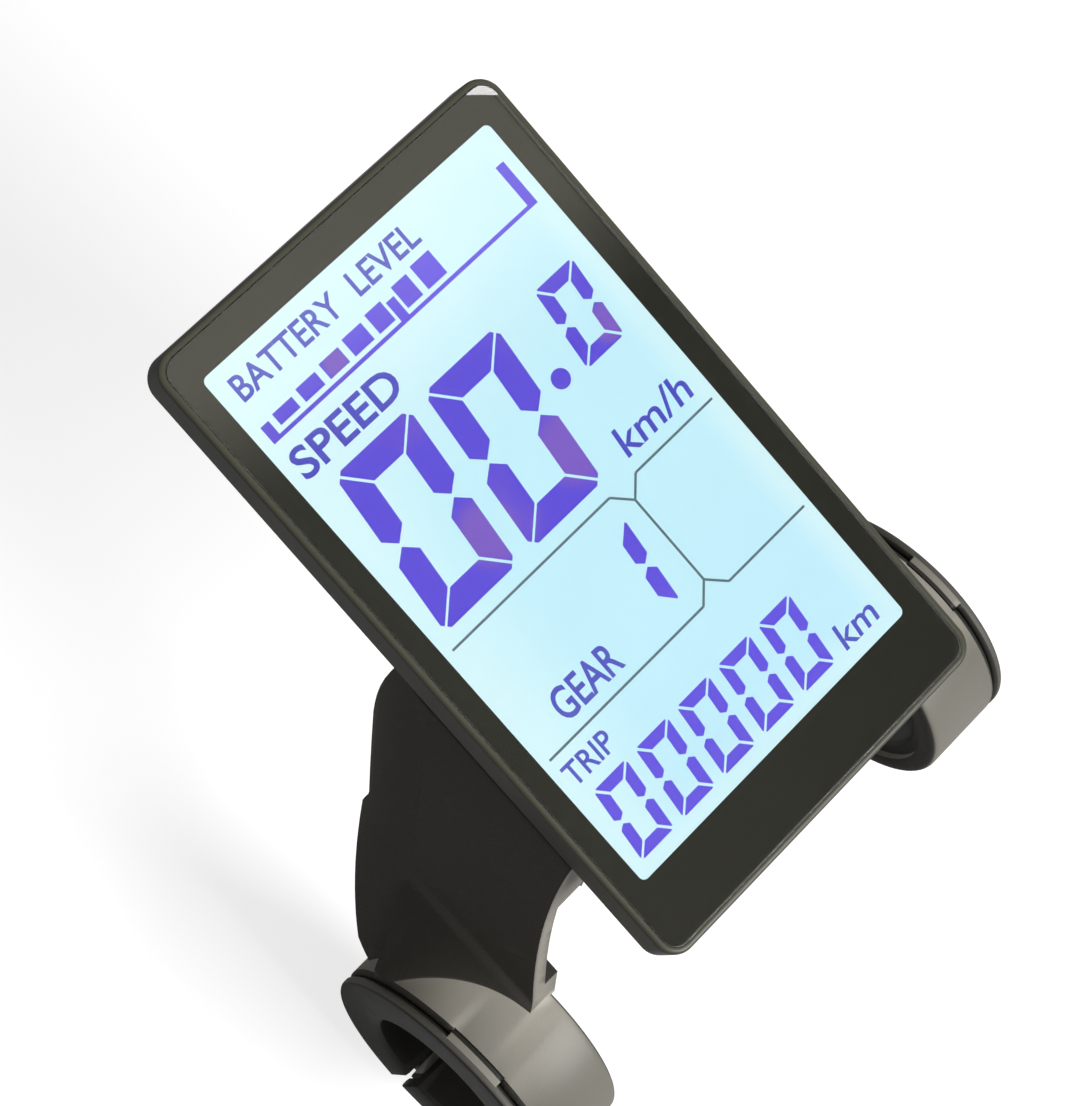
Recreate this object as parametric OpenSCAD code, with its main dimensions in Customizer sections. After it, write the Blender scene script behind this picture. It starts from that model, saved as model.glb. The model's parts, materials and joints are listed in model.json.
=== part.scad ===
// Handlebar display: a flat glass-fronted head on two moulded arms, each arm ending in a split clamp ring.
// X runs along the handlebar towards the display's right, Y towards its top edge and Z out of its glass.
// The origin lies on the handlebar's axis, midway between the two rings. Lengths are in millimetres.

/* [Head] */
// Width of the head along the handlebar
head_w = 65.2; // [62:0.1:70]
// Height of the head, from its lower edge to its top edge
head_h = 108; // [104:0.5:120]
// Radius of the head's corners seen from the front
head_corner_r = 3.7; // [3.4:0.1:8]
// Distance of the lower edge from the handlebar's axis
head_low_y = 3; // [0:0.5:8]
// Height of the glass face above the handlebar's axis
face_z = 60.1; // [58:0.1:75]
// Depth of the frame's visible side wall
frame_d = 6; // [5.8:0.1:8]
// Depth of the back shell's belly behind the frame
belly_d = 10; // [9:0.1:14]
// Distance of the belly's sides from the head's sides
belly_side = 6.4; // [5.8:0.1:8]
// Thickness of the belly's wall
belly_wall = 1.7; // [1.2:0.1:2.5]
// Radius of the belly's back edges
belly_edge_r = 3.2; // [1:0.1:4]

/* [Window] */
// Width of the dark border beside the clear window, from the head's side
border_side = 4.75; // [4.5:0.05:8]
// Width of the border above the window, from the head's top edge
border_top = 5.95; // [5.4:0.05:9]
// Width of the border below the window, from the head's lower edge
border_low = 11.15; // [10.8:0.05:14]
// Radius of the window's corners
window_corner_r = 1; // [0.5:0.1:3]
// Thickness of the cover glass
glass_t = 1.2; // [0.7:0.1:1.4]
// Width of the frame's rim round the glass
rim_w = 1; // [0.9:0.1:1.6]

/* [Screen] */
// Thickness of each of the two screen glasses
lcd_glass_t = 0.7; // [0.4:0.05:0.8]
// Thickness of the light guide
guide_t = 1; // [0.6:0.1:1.1]
// Height of the two large speed digits
speed_digit_h = 25.8; // [20:0.1:26.5]
// Width of a large speed digit
speed_digit_w = 14.4; // [11:0.1:15]
// Height of the tenths digit
tenth_digit_h = 12.9; // [9:0.1:14]
// Height of the assist level digit
level_digit_h = 13.9; // [9:0.1:14.5]
// Height of the distance digits
trip_digit_h = 11.7; // [8:0.1:12.5]
// Number of distance digits
trip_digits = 5; // [3:1:5]
// Number of bars in the charge gauge
gauge_bars = 7; // [4:1:7]
// Lean of the digits to the right
digit_lean = 6.2; // [0:0.1:9]

/* [Clamp rings] */
// Handlebar diameter that the inserts are bored for
bar_d = 25.4; // [22.2:0.1:28]
// Bore of the rings round the inserts
ring_bore_d = 31.8; // [31.8:0.1:33]
// Wall of the rings
ring_wall = 5; // [4:0.1:6]
// Width of each ring along the handlebar
ring_w = 14.8; // [12:0.1:17]
// Clear distance between the two rings
ring_gap = 74.5; // [70:0.5:84]
// Width of the insert's flange outside the ring
flange_w = 2.1; // [1.2:0.1:3]
// Width of the slit that lets a ring close on the handlebar
slit_w = 2.5; // [1.5:0.1:3.5]

/* [Arms] */
// Lean of the ridge along each arm's flank, from the handlebar towards the display's top edge
arm_lean = 58; // [54:0.5:62]
// Distance from a ring's inner end to where the arm's flank meets it
flank_foot = 3.7; // [2.5:0.1:5]
// Radius of the flank's rounded back edge
arm_nose_r = 16; // [12:0.1:18]
// How much wider that rounding is at its foot, below the ring
nose_foot_spread = 5; // [3:0.1:8]
// Thickness of the arm's skin over the ribbed hollow
arm_skin = 2.6; // [2:0.1:3]
// Thickness of the foot that is screwed to the back shell
foot_t = 3; // [2.4:0.1:3.5]

/* [Clamp screws] */
// Thread diameter of the clamp screws
clamp_screw_d = 4; // [3:0.5:4]
// Distance of the clamp screw from the ring's outer face
lug_out = 3.8; // [3.8:0.1:5]
// Width of the lugs along the handlebar
lug_w = 10.2; // [9:0.1:11.5]
// Thickness of each lug beside the slit
lug_t = 6; // [5.5:0.1:7]
// Depth of the socket that holds the nut in one lug
lug_socket = 3; // [2.5:0.1:3.2]

/* [Cable] */
// Diameter of the cable that the gland holds
cable_d = 4.6; // [3.5:0.1:5]
// Length of the gland's bore
gland_l = 8; // [6:0.5:8]

/* [Hidden] */
$fn = 64;
arc_steps = 8;
curve_steps = 18;
fine_sides = 128;

// Colours, as the photograph shows them
glass_colour = [0.75, 0.85, 0.85, 0.35];
ink_colour = [0.16, 0.16, 0.14];
frame_colour = [0.24, 0.24, 0.2];
plastic_colour = [0.14, 0.14, 0.14];
screen_colour = [0.8, 0.96, 1];
segment_colour = [0.36, 0.25, 0.85];
steel_colour = [0.7, 0.7, 0.68];
board_colour = [0.1, 0.32, 0.18];
rubber_colour = [0.1, 0.1, 0.1];
copper_colour = [0.72, 0.45, 0.25];
chip_colour = [0.12, 0.12, 0.13];
coil_colour = [0.2, 0.2, 0.21];

// Small clearances and the overrun of cuts
seat_gap = 0.1;
slip_gap = 0.05;
overrun = 1;

// Head: levels from the glass face down
head_mid_y = head_low_y + head_h / 2;
frame_back_z = face_z - frame_d;
belly_back_z = frame_back_z - belly_d;
rim_step = 0.15;
rim_chamfer = 0.7;
mask_t = 0.1;
tape_t = 0.2;
glass_back_z = face_z - glass_t;
mask_back_z = glass_back_z - mask_t;
ledge_z = mask_back_z - tape_t;
ledge_t = 1.6;
ledge_back_z = ledge_z - ledge_t;
frame_wall = 1.6;
ledge_reach = 3.1;
glass_w = head_w - 2 * rim_w - 2 * seat_gap;
glass_h = head_h - 2 * rim_w - 2 * seat_gap;
glass_corner_r = head_corner_r - rim_w - seat_gap;
window_w = head_w - 2 * border_side;
window_h = head_h - border_low - border_top;

// Screen stack, from the front polarizer down
film_t = 0.2;
cell_t = 0.1;
polarizer_top_z = mask_back_z - seat_gap;
front_glass_top_z = polarizer_top_z - film_t;
cell_top_z = front_glass_top_z - lcd_glass_t;
rear_glass_top_z = cell_top_z - cell_t;
rear_film_top_z = rear_glass_top_z - lcd_glass_t;
diffuser_top_z = rear_film_top_z - film_t;
diffuser_t = 0.25;
guide_top_z = diffuser_top_z - diffuser_t;
reflector_top_z = guide_top_z - guide_t;
stack_back_z = reflector_top_z - film_t;
lcd_w = head_w - 2 * ledge_reach - 4 * seat_gap;
lcd_margin = 1.5;
contact_ledge = 2;
lcd_top_y = head_low_y + border_low + window_h + lcd_margin;
lcd_low_y = head_low_y + border_low - lcd_margin - contact_ledge;
lcd_rear_low_y = lcd_low_y + contact_ledge;
window_mid_y = head_low_y + border_low + window_h / 2;
seal_line_w = 0.8;
shelf_top_y = lcd_top_y + seat_gap;
shelf_low_y = lcd_low_y - seat_gap;

// Backlight: a moulded frame round the guide, with the lamps in its lower rail
rail_w = 1.2;
lamp_slot = 1.6;
lamp_count = 6;
lamp_w = 3;
lamp_d = 1.2;
light_w = lcd_w - 2 * rail_w;
light_low_y = lcd_rear_low_y + rail_w + lamp_slot;
light_top_y = lcd_top_y - rail_w;

// Back shell: a plate inside the frame's wall, and the belly
plate_t = 1.25;
plate_z = frame_back_z + plate_t;
plate_w = head_w - 2 * frame_wall - 2 * seat_gap;
plate_h = head_h - 2 * frame_wall - 2 * seat_gap;
plate_corner_r = head_corner_r - frame_wall - seat_gap;
belly_w = head_w - 2 * belly_side;
belly_inset_y = 6.5;
belly_low_y = head_low_y + belly_inset_y;
belly_top_y = head_low_y + head_h - belly_inset_y;
belly_h = belly_top_y - belly_low_y;
belly_corner_r = 5;
back_wall = 1.6;
shell_rib_shares = [0.3, 0.5, 0.7];
belly_floor_z = belly_back_z + back_wall;
seal_w = 1.2;
seal_t = ledge_back_z - plate_z;

// Case screws at the lower corners, and hooks at the top edge
case_screw_d = 2;
case_head_d = 3.6;
case_head_t = 1.2;
case_head_recess = 0.5;
case_screw_l = 2.6;
case_screw_in_x = 5.4;
case_screw_in_y = 5.1;
case_boss_d = 3.9;
hook_w = 8;
hook_reach = 0.5;
hook_t = 0.6;
hook_in_x = 14;

// Circuit board on four posts
board_t = 1.2;
board_gap = 2;
board_cable_gap = 7;
board_w = belly_w - 2 * belly_wall - 2 * board_gap;
board_h = belly_h - 2 * belly_wall - board_gap - board_cable_gap;
board_low_y = belly_low_y + belly_wall + board_cable_gap;
board_lift = 4.4;
board_back_z = belly_floor_z + board_lift;
board_top_z = board_back_z + board_t;
post_d = 4.6;
post_in = 3.4;
board_screw_d = 2;
board_screw_head_d = 3.8;
board_screw_head_t = 1.3;
board_screw_l = 4;
board_hole_gap = 0.2;

// Parts on the board
chip_side = 10;
chip_t = 1.4;
chip_pin_w = 0.3;
chip_pin_pitch = 0.8;
chip_pin_l = 1;
chip_pin_root = 0.25;
chip_pin_t = 0.25;
driver_w = 12.8;
driver_h = 7.5;
coil_side = 7.3;
coil_shares = [0.9, 0.45];
coil_t = 2.4;
capacitor_d = 5;
capacitor_t = 2.3;
capacitor_pitch = 7;
socket_w = 22;
socket_d = 4;
socket_t = 1.4;
cable_socket_w = 12.4;
cable_socket_d = 5.6;
cable_socket_t = 3.4;
cable_socket_wall = 0.8;
ribbon_w = 18;
ribbon_t = 0.25;

// Cable gland in the belly's lower end wall
gland_collar = 1.1;
gland_lip_w = 0.6;
gland_lip_t = 1.4;
gland_neck_r = cable_d / 2 + gland_collar;
gland_lip_r = gland_neck_r + gland_lip_w;
gland_z = frame_back_z - gland_lip_r - seat_gap;
gland_out_l = gland_l - belly_wall - gland_lip_t;
gland_rib_w = 0.7;
gland_rib_count = 3;

// Clamp rings
ring_r = ring_bore_d / 2 + ring_wall;
ring_in = ring_gap / 2;
ring_out = ring_in + ring_w;
ring_edge_r = 1.1;
ring_lip = 0.5;
recess_reach = 1.7;
recess_r = ring_bore_d / 2 + recess_reach;
recess_d = 1;
insert_r = ring_bore_d / 2;
bar_r = bar_d / 2;
insert_chamfer = 0.6;
flange_gap = 0.35;
flange_edge_r = 0.7;
flange_slot_w = 0.5;
key_from = -3;
key_to = 25;
key_w = 0.7;
key_depth = 2.4;
key_gap = 0.2;

// Arms: outlines in the YZ plane and in the XZ plane
arm_gap = 0.8;
arm_top_z = frame_back_z - arm_gap;
arm_out_x = head_w / 2;
arm_in_x = belly_w / 2 + seat_gap;
arm_front_root_y = 2.4;
arm_front_top_y = 21.2;
arm_back_top_y = 58.4;
arm_front_bend_share = [0.73, 0.51];
arm_back_bend_share = [0.88, 0.3];
arm_back_root_share = [0.995, -0.1];
arm_front_root_share = 0.97;
arm_nose_y = 20.5;
nose_foot_rise = 8;
flare_rise = 1.4;
flare_top_z = ring_r + flare_rise;
arm_splay = atan((ring_in + flank_foot - arm_out_x) / (arm_top_z - flare_top_z));
flare_end_share = 0.455;
flare_bend_share = [0.08, 0.8];
inner_knee_share = 0.91;
foot_reach = 13.2;
foot_in_x = belly_w / 2 - foot_reach;
foot_low_y = 21;
foot_top_y = 53;
foot_corner_r = 3;
rib_t = 1.8;
hollow_rim = 2.6;
hollow_y = -3.2;
hollow_past_nose = 2;
gusset_drop = 9;
gusset_in = 7;
gusset_shares = [0.3, 0.62];

// Arm screws through the foot into the belly's bosses
arm_screw_d = 3;
arm_screw_head_d = 5.6;
arm_screw_head_t = 2;
arm_screw_l = 6.4;
arm_screw_in_x = 7.7;
arm_screw_x = belly_w / 2 - arm_screw_in_x;
arm_screw_in_y = 6.5;
arm_boss_d = 6;
arm_boss_l = 3.8;
arm_screw_low_y = foot_low_y + arm_screw_in_y;
arm_screw_high_y = foot_top_y - arm_screw_in_y;

// Lugs and clamp screws, on the side of the ring that faces away from the head
lug_z = -(ring_r + lug_out);
lug_r = lug_w / 2;
lug_x = (ring_in + ring_out) / 2;
lug_reach = slit_w / 2 + lug_t;
clamp_head_share = 1.75;
clamp_head_d = clamp_screw_d * clamp_head_share;
clamp_head_t = clamp_screw_d;
washer_d = 9;
washer_t = 0.8;
nut_d = 7.6;
nut_t = 3.2;
nut_gap = 0.1;
drive_share = 0.86;
drive_d = clamp_screw_d * drive_share;
drive_depth = 2.2;
head_chamfer = 0.4;
cross_long_share = 0.55;
cross_wide_share = 0.14;
nut_seat_y = slit_w / 2 + lug_t - lug_socket;
clamp_screw_tip = 0.8;
clamp_screw_l = 2 * lug_reach - lug_socket + washer_t + nut_t + clamp_screw_tip;

// Symbols on the screen, drawn from the lower left corner of a sheet that is stretched to the window
sheet_w = 55.7;
sheet_h = 90.9;
window_left_x = -window_w / 2;
window_low_y = head_low_y + border_low;
speed_x = 2.7;
speed_y = 43.6;
speed_pitch = 17.4;
speed_stroke = 4.1;
tenth_x = 43.6;
tenth_y = 56.3;
tenth_digit_w = 7.6;
tenth_stroke = 2.1;
dot_x = 39.6;
dot_y = 57.9;
dot_r = 1.5;
level_right_x = 32.3;
level_y = 23.9;
level_stroke = 2.4;
trip_x = 2.3;
trip_y = 2;
trip_pitch = 8.56;
trip_digit_w = 6.6;
trip_stroke = 1.75;
stroke_gap = 0.28;
corner_cut_share = 0.3;
gauge_x = 2.2;
gauge_y = 78;
gauge_w = 52;
gauge_line_t = 0.6;
gauge_foot_w = 1.5;
gauge_foot_h = 2.9;
gauge_mid_x = 25.2;
gauge_mid_h = 3.9;
gauge_post_h = 7.4;
bar_x = 2.5;
bar_pitch = 4.79;
bar_w = 3.7;
bar_lift = 1.3;
bar_first_h = 1.9;
bar_grow = 0.36;
bar_clear = 0.5;
divider_t = 0.36;
divider_left_x = 1.8;
divider_right_x = 55;
divider_x = 36.2;
divider_low_y = 21;
divider_high_y = 41.2;
divider_cut = 2.7;

// A point part of the way from a to b
function between(a, b, s) = a + (b - a) * s;

// Points of a quadratic curve from a to c that bends towards b
function bend(a, b, c) = [
    for (i = [0:curve_steps])
        let (t = i / curve_steps)
            (1 - t) * (1 - t) * a + 2 * t * (1 - t) * b + t * t * c
];

// Points of an arc round a centre, from one angle to another
function arc(centre, r, from, to) = [
    for (i = [0:arc_steps])
        let (a = between(from, to, i / arc_steps))
            centre + r * [cos(a), sin(a)]
];

// The right arm's flank at a given height: it runs straight from the head's side to its foot on the ring
function flank_x(z) = arm_out_x + (arm_top_z - z) * tan(arm_splay);

// A rectangle with round corners, centred on the head's middle line, from a low edge up
module rounded_rect(w, h, r) {
    square([w - 2 * r, h], center = true);
    square([w, h - 2 * r], center = true);
    for (x = [-1, 1], y = [-1, 1])
        translate([x * (w / 2 - r), y * (h / 2 - r)])
            circle(r);
}

// A rounded slab from its lower level up
module slab(w, h, r, mid_y, z, t) {
    translate([0, mid_y, z])
        linear_extrude(t)
            rounded_rect(w, h, r);
}

// A plain slab between two levels of Y
module strip(w, low_y, high_y, z, t) {
    translate([-w / 2, low_y, z])
        cube([w, high_y - low_y, t]);
}

// Carries a profile round a rectangle with round corners; the profile's x is the radius at the corners
module edge_run(w, h, r) {
    for (k = [0:3])
        rotate(90 * k)
            let (reach = (k % 2 == 0 ? w : h) / 2 - r, run = (k % 2 == 0 ? h : w) - 2 * r)
                translate([reach, run / 2, 0]) {
                    rotate([90, 0, 0])
                        linear_extrude(run)
                            children();
                    rotate_extrude(angle = 90)
                        children();
                }
}

// A screw with a pan head, its head's seat at the origin and its shank along +Z
module pan_screw(d, l, head_d, head_t) {
    cylinder(d = d, h = l);
    translate([0, 0, -head_t])
        difference() {
            rotate_extrude()
                polygon(concat(
                    [[0, head_t], [0, 0]],
                    arc([head_d / 2 - head_t / 2, head_t / 2], head_t / 2, -90, 0),
                    [[head_d / 2, head_t]]
                ));
            for (a = [0, 90])
                rotate(a)
                    cube([head_d * cross_long_share, head_d * cross_wide_share, head_t], center = true);
        }
}

// Glass, its printed border and the tape that bonds it to the frame
module cover_glass() {
    color(glass_colour)
        slab(glass_w, glass_h, glass_corner_r, head_mid_y, glass_back_z, glass_t);
}

module border_mask() {
    color(ink_colour)
        difference() {
            slab(glass_w, glass_h, glass_corner_r, head_mid_y, mask_back_z, mask_t);
            slab(
                window_w, window_h, window_corner_r, window_mid_y,
                mask_back_z - overrun, mask_t + 2 * overrun
            );
        }
}

module glass_tape() {
    tape_w = glass_w - 2 * seat_gap;
    tape_h = glass_h - 2 * seat_gap;
    color(rubber_colour)
        difference() {
            slab(tape_w, tape_h, glass_corner_r, head_mid_y, ledge_z, tape_t);
            strip(lcd_w + 2 * seat_gap, shelf_low_y, shelf_top_y, ledge_z - overrun, tape_t + 2 * overrun);
        }
}

// Frame: one profile carried round the head, with a shelf above and below the screen
module front_frame() {
    r = head_corner_r;
    top = face_z - rim_step;
    color(frame_colour)
        difference() {
            union() {
                translate([0, head_mid_y, 0])
                    edge_run(head_w, head_h, r)
                        polygon(concat(
                            [[r, frame_back_z]],
                            arc([r - rim_chamfer, top - rim_chamfer], rim_chamfer, 0, 90),
                            [
                                [r - rim_w, top],
                                [r - rim_w, ledge_z],
                                [r - ledge_reach, ledge_z],
                                [r - ledge_reach, ledge_back_z],
                                [r - frame_wall, ledge_back_z],
                                [r - frame_wall, frame_back_z]
                            ]
                        ));
                frame_shelves();
            }
            for (x = [-1, 1])
                translate([x * case_screw_x(), case_screw_y(), plate_z - overrun])
                    cylinder(d = case_screw_d + 2 * slip_gap, h = case_screw_bite() + overrun);
            hook_pockets();
        }
}

function case_screw_bite() = case_screw_l - plate_t + case_head_recess;
function case_screw_x() = head_w / 2 - case_screw_in_x;
function case_screw_y() = head_low_y + case_screw_in_y;

// Shelves that close the frame above and below the screen, and the bosses for the case screws
module frame_shelves() {
    w = head_w - 2 * frame_wall;
    low = head_low_y + frame_wall;
    high = head_low_y + head_h - frame_wall;
    strip(w - 2 * ledge_reach, low, shelf_low_y, ledge_back_z, ledge_t);
    strip(w - 2 * ledge_reach, shelf_top_y, high, ledge_back_z, ledge_t);
    for (x = [-1, 1])
        translate([x * case_screw_x(), case_screw_y(), plate_z])
            cylinder(d = case_boss_d, h = ledge_t / 2 + ledge_back_z - plate_z);
}

module hook_pockets() {
    for (x = [-1, 1])
        translate([
            x * hook_in_x - hook_w / 2 - seat_gap,
            head_low_y + head_h - frame_wall - overrun,
            frame_back_z + hook_t - seat_gap
        ])
            cube([hook_w + 2 * seat_gap, hook_reach + overrun + seat_gap, hook_t + 2 * seat_gap]);
}

// Screen layers
module front_polarizer() {
    color(glass_colour)
        strip(
            lcd_w - lcd_margin,
            lcd_rear_low_y + seal_line_w, lcd_top_y - seal_line_w,
            front_glass_top_z, film_t
        );
}

module lcd_front_glass() {
    color(glass_colour)
        strip(lcd_w, lcd_low_y, lcd_top_y, cell_top_z, lcd_glass_t);
}

module lcd_edge_seal() {
    color(rubber_colour)
        difference() {
            strip(lcd_w, lcd_rear_low_y, lcd_top_y, rear_glass_top_z, cell_t);
            strip(
                lcd_w - 2 * seal_line_w, lcd_rear_low_y + seal_line_w, lcd_top_y - seal_line_w,
                rear_glass_top_z - overrun, cell_t + 2 * overrun
            );
        }
}

// Outline points of the strokes of a digit, before it leans: top stroke and upper left stroke
function top_stroke(w, h, t) =
    let (g = stroke_gap, k = t * corner_cut_share)
        [
            [k, h], [w - k, h],
            [w - (k + g) / 2, h - (k - g) / 2], [w - t - g, h - t],
            [t + g, h - t], [(k + g) / 2, h - (k - g) / 2]
        ];
function side_stroke(h, t) =
    let (g = stroke_gap, k = t * corner_cut_share)
        [
            [0, h - k], [(k - g) / 2, h - (k + g) / 2], [t, h - t - g],
            [t, (h + t) / 2], [t / 2, h / 2 + g], [0, (h + t) / 2]
        ];
function flip_x(points, w) = [for (p = points) [w - p[0], p[1]]];
function flip_y(points, h) = [for (p = points) [p[0], h - p[1]]];
function leaning(points) = [for (p = points) [p[0] + p[1] * tan(digit_lean), p[1]]];

module stroke(points) {
    linear_extrude(cell_t)
        polygon(leaning(points));
}

module digit_zero(w, h, t) {
    side = side_stroke(h, t);
    stroke(top_stroke(w, h, t));
    stroke(flip_y(top_stroke(w, h, t), h));
    stroke(side);
    stroke(flip_y(side, h));
    stroke(flip_x(side, w));
    stroke(flip_x(flip_y(side, h), w));
}

module digit_one(h, t) {
    side = flip_x(side_stroke(h, t), 0);
    stroke(side);
    stroke(flip_y(side, h));
}

// Charge gauge: a stepped bracket and bars that grow to the right
module gauge_bracket() {
    linear_extrude(cell_t)
        union() {
            square([gauge_w, gauge_line_t]);
            square([gauge_foot_w, gauge_foot_h]);
            translate([gauge_mid_x, 0])
                square([gauge_foot_w, gauge_mid_h]);
            translate([gauge_w - gauge_foot_w, 0])
                square([gauge_foot_w, gauge_post_h]);
        }
}

module gauge_bar(i) {
    low_x = bar_x + i * bar_pitch;
    high_x = low_x + bar_w;
    mid_low = gauge_mid_x - bar_clear;
    mid_high = gauge_mid_x + gauge_foot_w + bar_clear;
    from_x = low_x > gauge_mid_x - bar_w / 2 && low_x < mid_high ? mid_high : low_x;
    to_x = high_x > mid_low && low_x < gauge_mid_x - bar_w / 2 ? mid_low : high_x;
    translate([from_x, bar_lift, 0])
        linear_extrude(cell_t)
            square([to_x - from_x, bar_first_h + i * bar_grow]);
}

// Thin lines that part the screen into fields
module line(a, b) {
    run = norm(b - a);
    translate([a[0], a[1], 0])
        rotate(atan2(b[1] - a[1], b[0] - a[0]))
            translate([0, -divider_t / 2, 0])
                cube([run, divider_t, cell_t]);
}

module dividers() {
    low = divider_low_y;
    high = divider_high_y;
    cut = divider_cut;
    x = divider_x;
    for (s = [[low, 1], [high, -1]]) {
        line([divider_left_x, s[0]], [x - cut, s[0]]);
        line([x - cut, s[0]], [x, s[0] + s[1] * cut]);
        line([x, s[0] + s[1] * cut], [x + cut, s[0]]);
        line([x + cut, s[0]], [divider_right_x, s[0]]);
    }
    line([x, low + cut], [x, high - cut]);
}

module screen_symbols() {
    level_shift = level_digit_h * tan(digit_lean);
    for (i = [0, 1])
        translate([speed_x + i * speed_pitch, speed_y, 0])
            digit_zero(speed_digit_w, speed_digit_h, speed_stroke);
    translate([tenth_x, tenth_y, 0])
        digit_zero(tenth_digit_w, tenth_digit_h, tenth_stroke);
    translate([dot_x, dot_y, 0])
        cylinder(r = dot_r, h = cell_t);
    translate([level_right_x - level_shift / 2, level_y, 0])
        digit_one(level_digit_h, level_stroke);
    for (i = [0:trip_digits - 1])
        translate([trip_x + i * trip_pitch, trip_y, 0])
            digit_zero(trip_digit_w, trip_digit_h, trip_stroke);
    translate([gauge_x, gauge_y, 0]) {
        gauge_bracket();
        for (i = [0:gauge_bars - 1])
            gauge_bar(i);
    }
    dividers();
}

module lcd_segments() {
    color(segment_colour)
        translate([window_left_x, window_low_y, rear_glass_top_z])
            scale([window_w / sheet_w, window_h / sheet_h, 1])
                screen_symbols();
}

module lcd_rear_glass() {
    color(screen_colour)
        strip(lcd_w, lcd_rear_low_y, lcd_top_y, rear_film_top_z, lcd_glass_t);
}

module rear_polarizer() {
    color(screen_colour)
        strip(lcd_w, lcd_rear_low_y, lcd_top_y, diffuser_top_z, film_t);
}

module diffuser_sheet() {
    color("white")
        strip(light_w, light_low_y, light_top_y, guide_top_z, diffuser_t);
}

module light_guide() {
    color("white")
        strip(light_w, light_low_y, light_top_y, reflector_top_z, guide_t);
}

module reflector_sheet() {
    color("silver")
        strip(light_w, light_low_y, light_top_y, stack_back_z, film_t);
}

module backlight_frame() {
    color("white")
        difference() {
            strip(lcd_w, lcd_rear_low_y, lcd_top_y, stack_back_z, diffuser_top_z - stack_back_z);
            strip(
                light_w, lcd_rear_low_y + rail_w, light_top_y,
                stack_back_z - overrun, diffuser_top_z - stack_back_z + 2 * overrun
            );
        }
}

module backlight_leds() {
    pitch = light_w / lamp_count;
    color("gold")
        for (i = [0:lamp_count - 1])
            translate([
                (i - (lamp_count - 1) / 2) * pitch - lamp_w / 2,
                lcd_rear_low_y + rail_w,
                reflector_top_z
            ])
                cube([lamp_w, lamp_d, guide_t]);
}

// Ribbon from the screen's contact ledge down to its socket on the board
function ribbon_socket_y() = board_low_y + socket_d;

module lcd_ribbon() {
    top = cell_top_z;
    low_z = board_top_z + socket_t;
    front = belly_low_y + belly_wall + seat_gap;
    bend_z = stack_back_z - film_t;
    back = ribbon_socket_y();
    color(copper_colour)
        translate([-ribbon_w / 2, 0, 0])
            rotate([90, 0, 90])
                linear_extrude(ribbon_w)
                    polygon([
                        [front, top], [lcd_rear_low_y - seat_gap, top],
                        [lcd_rear_low_y - seat_gap, top - ribbon_t], [front + ribbon_t, top - ribbon_t],
                        [front + ribbon_t, bend_z], [back + ribbon_t, low_z + ribbon_t],
                        [back + ribbon_t, low_z], [back, low_z], [front, bend_z - ribbon_t]
                    ]);
}

// Circuit board and its parts
module circuit_board() {
    color(board_colour)
        difference() {
            strip(board_w, board_low_y, board_low_y + board_h, board_back_z, board_t);
            board_corners()
                translate([0, 0, board_back_z - overrun])
                    cylinder(d = board_screw_d + 2 * board_hole_gap, h = board_t + 2 * overrun);
        }
}

module board_corners() {
    for (x = [-1, 1], y = [0, 1])
        translate([
            x * (board_w / 2 - post_in),
            board_low_y + post_in + y * (board_h - 2 * post_in),
            0
        ])
            children();
}

module board_screws() {
    color(steel_colour)
        board_corners()
            translate([0, 0, board_top_z])
                mirror([0, 0, 1])
                    pan_screw(board_screw_d, board_screw_l, board_screw_head_d, board_screw_head_t);
}

// A flat chip with a row of legs on two or on four sides
module chip(w, h, sides) {
    translate([-w / 2, -h / 2, 0])
        cube([w, h, chip_t]);
    for (k = [0:sides - 1])
        rotate(k * 360 / sides)
            let (run = k % 2 == 0 || sides == 2 ? w : h, out = k % 2 == 0 || sides == 2 ? h : w)
                for (x = [-run / 2 + chip_pin_pitch:chip_pin_pitch:run / 2 - chip_pin_pitch])
                    translate([x - chip_pin_w / 2, out / 2 - chip_pin_root, 0])
                        cube([chip_pin_w, chip_pin_root + chip_pin_l, chip_pin_t]);
}

module controller_chip() {
    color(chip_colour)
        translate([0, head_mid_y, board_top_z])
            chip(chip_side, chip_side, 4);
}

module driver_chip() {
    color(chip_colour)
        translate([0, head_mid_y - 2 * chip_side, board_top_z])
            chip(driver_w, driver_h, 2);
}

module power_coil() {
    color(coil_colour)
        translate([board_w / 4, head_mid_y + 2 * chip_side, board_top_z])
            difference() {
                translate([-coil_side / 2, -coil_side / 2, 0])
                    cube([coil_side, coil_side, coil_t]);
                translate([0, 0, coil_t - coil_t / 4])
                    difference() {
                        cylinder(d = coil_side * coil_shares[0], h = coil_t);
                        translate([0, 0, -overrun])
                            cylinder(d = coil_side * coil_shares[1], h = coil_t + 2 * overrun);
                    }
            }
}

module supply_capacitors() {
    color("silver")
        for (i = [-1, 1])
            translate([
                -board_w / 4 + i * capacitor_pitch / 2,
                head_mid_y + 2 * chip_side,
                board_top_z
            ])
                cylinder(d = capacitor_d, h = capacitor_t);
}

module ribbon_socket() {
    color("ivory")
        translate([-socket_w / 2, board_low_y + socket_d / 4, board_top_z])
            cube([socket_w, socket_d, socket_t]);
}

module cable_socket() {
    color("ivory")
        translate([-cable_socket_w / 2, board_low_y, 0])
            difference() {
                translate([0, 0, board_back_z - cable_socket_t])
                    cube([cable_socket_w, cable_socket_d, cable_socket_t]);
                translate([
                    cable_socket_wall, -overrun,
                    board_back_z - cable_socket_t + cable_socket_wall
                ])
                    cube([
                        cable_socket_w - 2 * cable_socket_wall,
                        cable_socket_d - cable_socket_wall + overrun,
                        cable_socket_t - 2 * cable_socket_wall
                    ]);
            }
}

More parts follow.
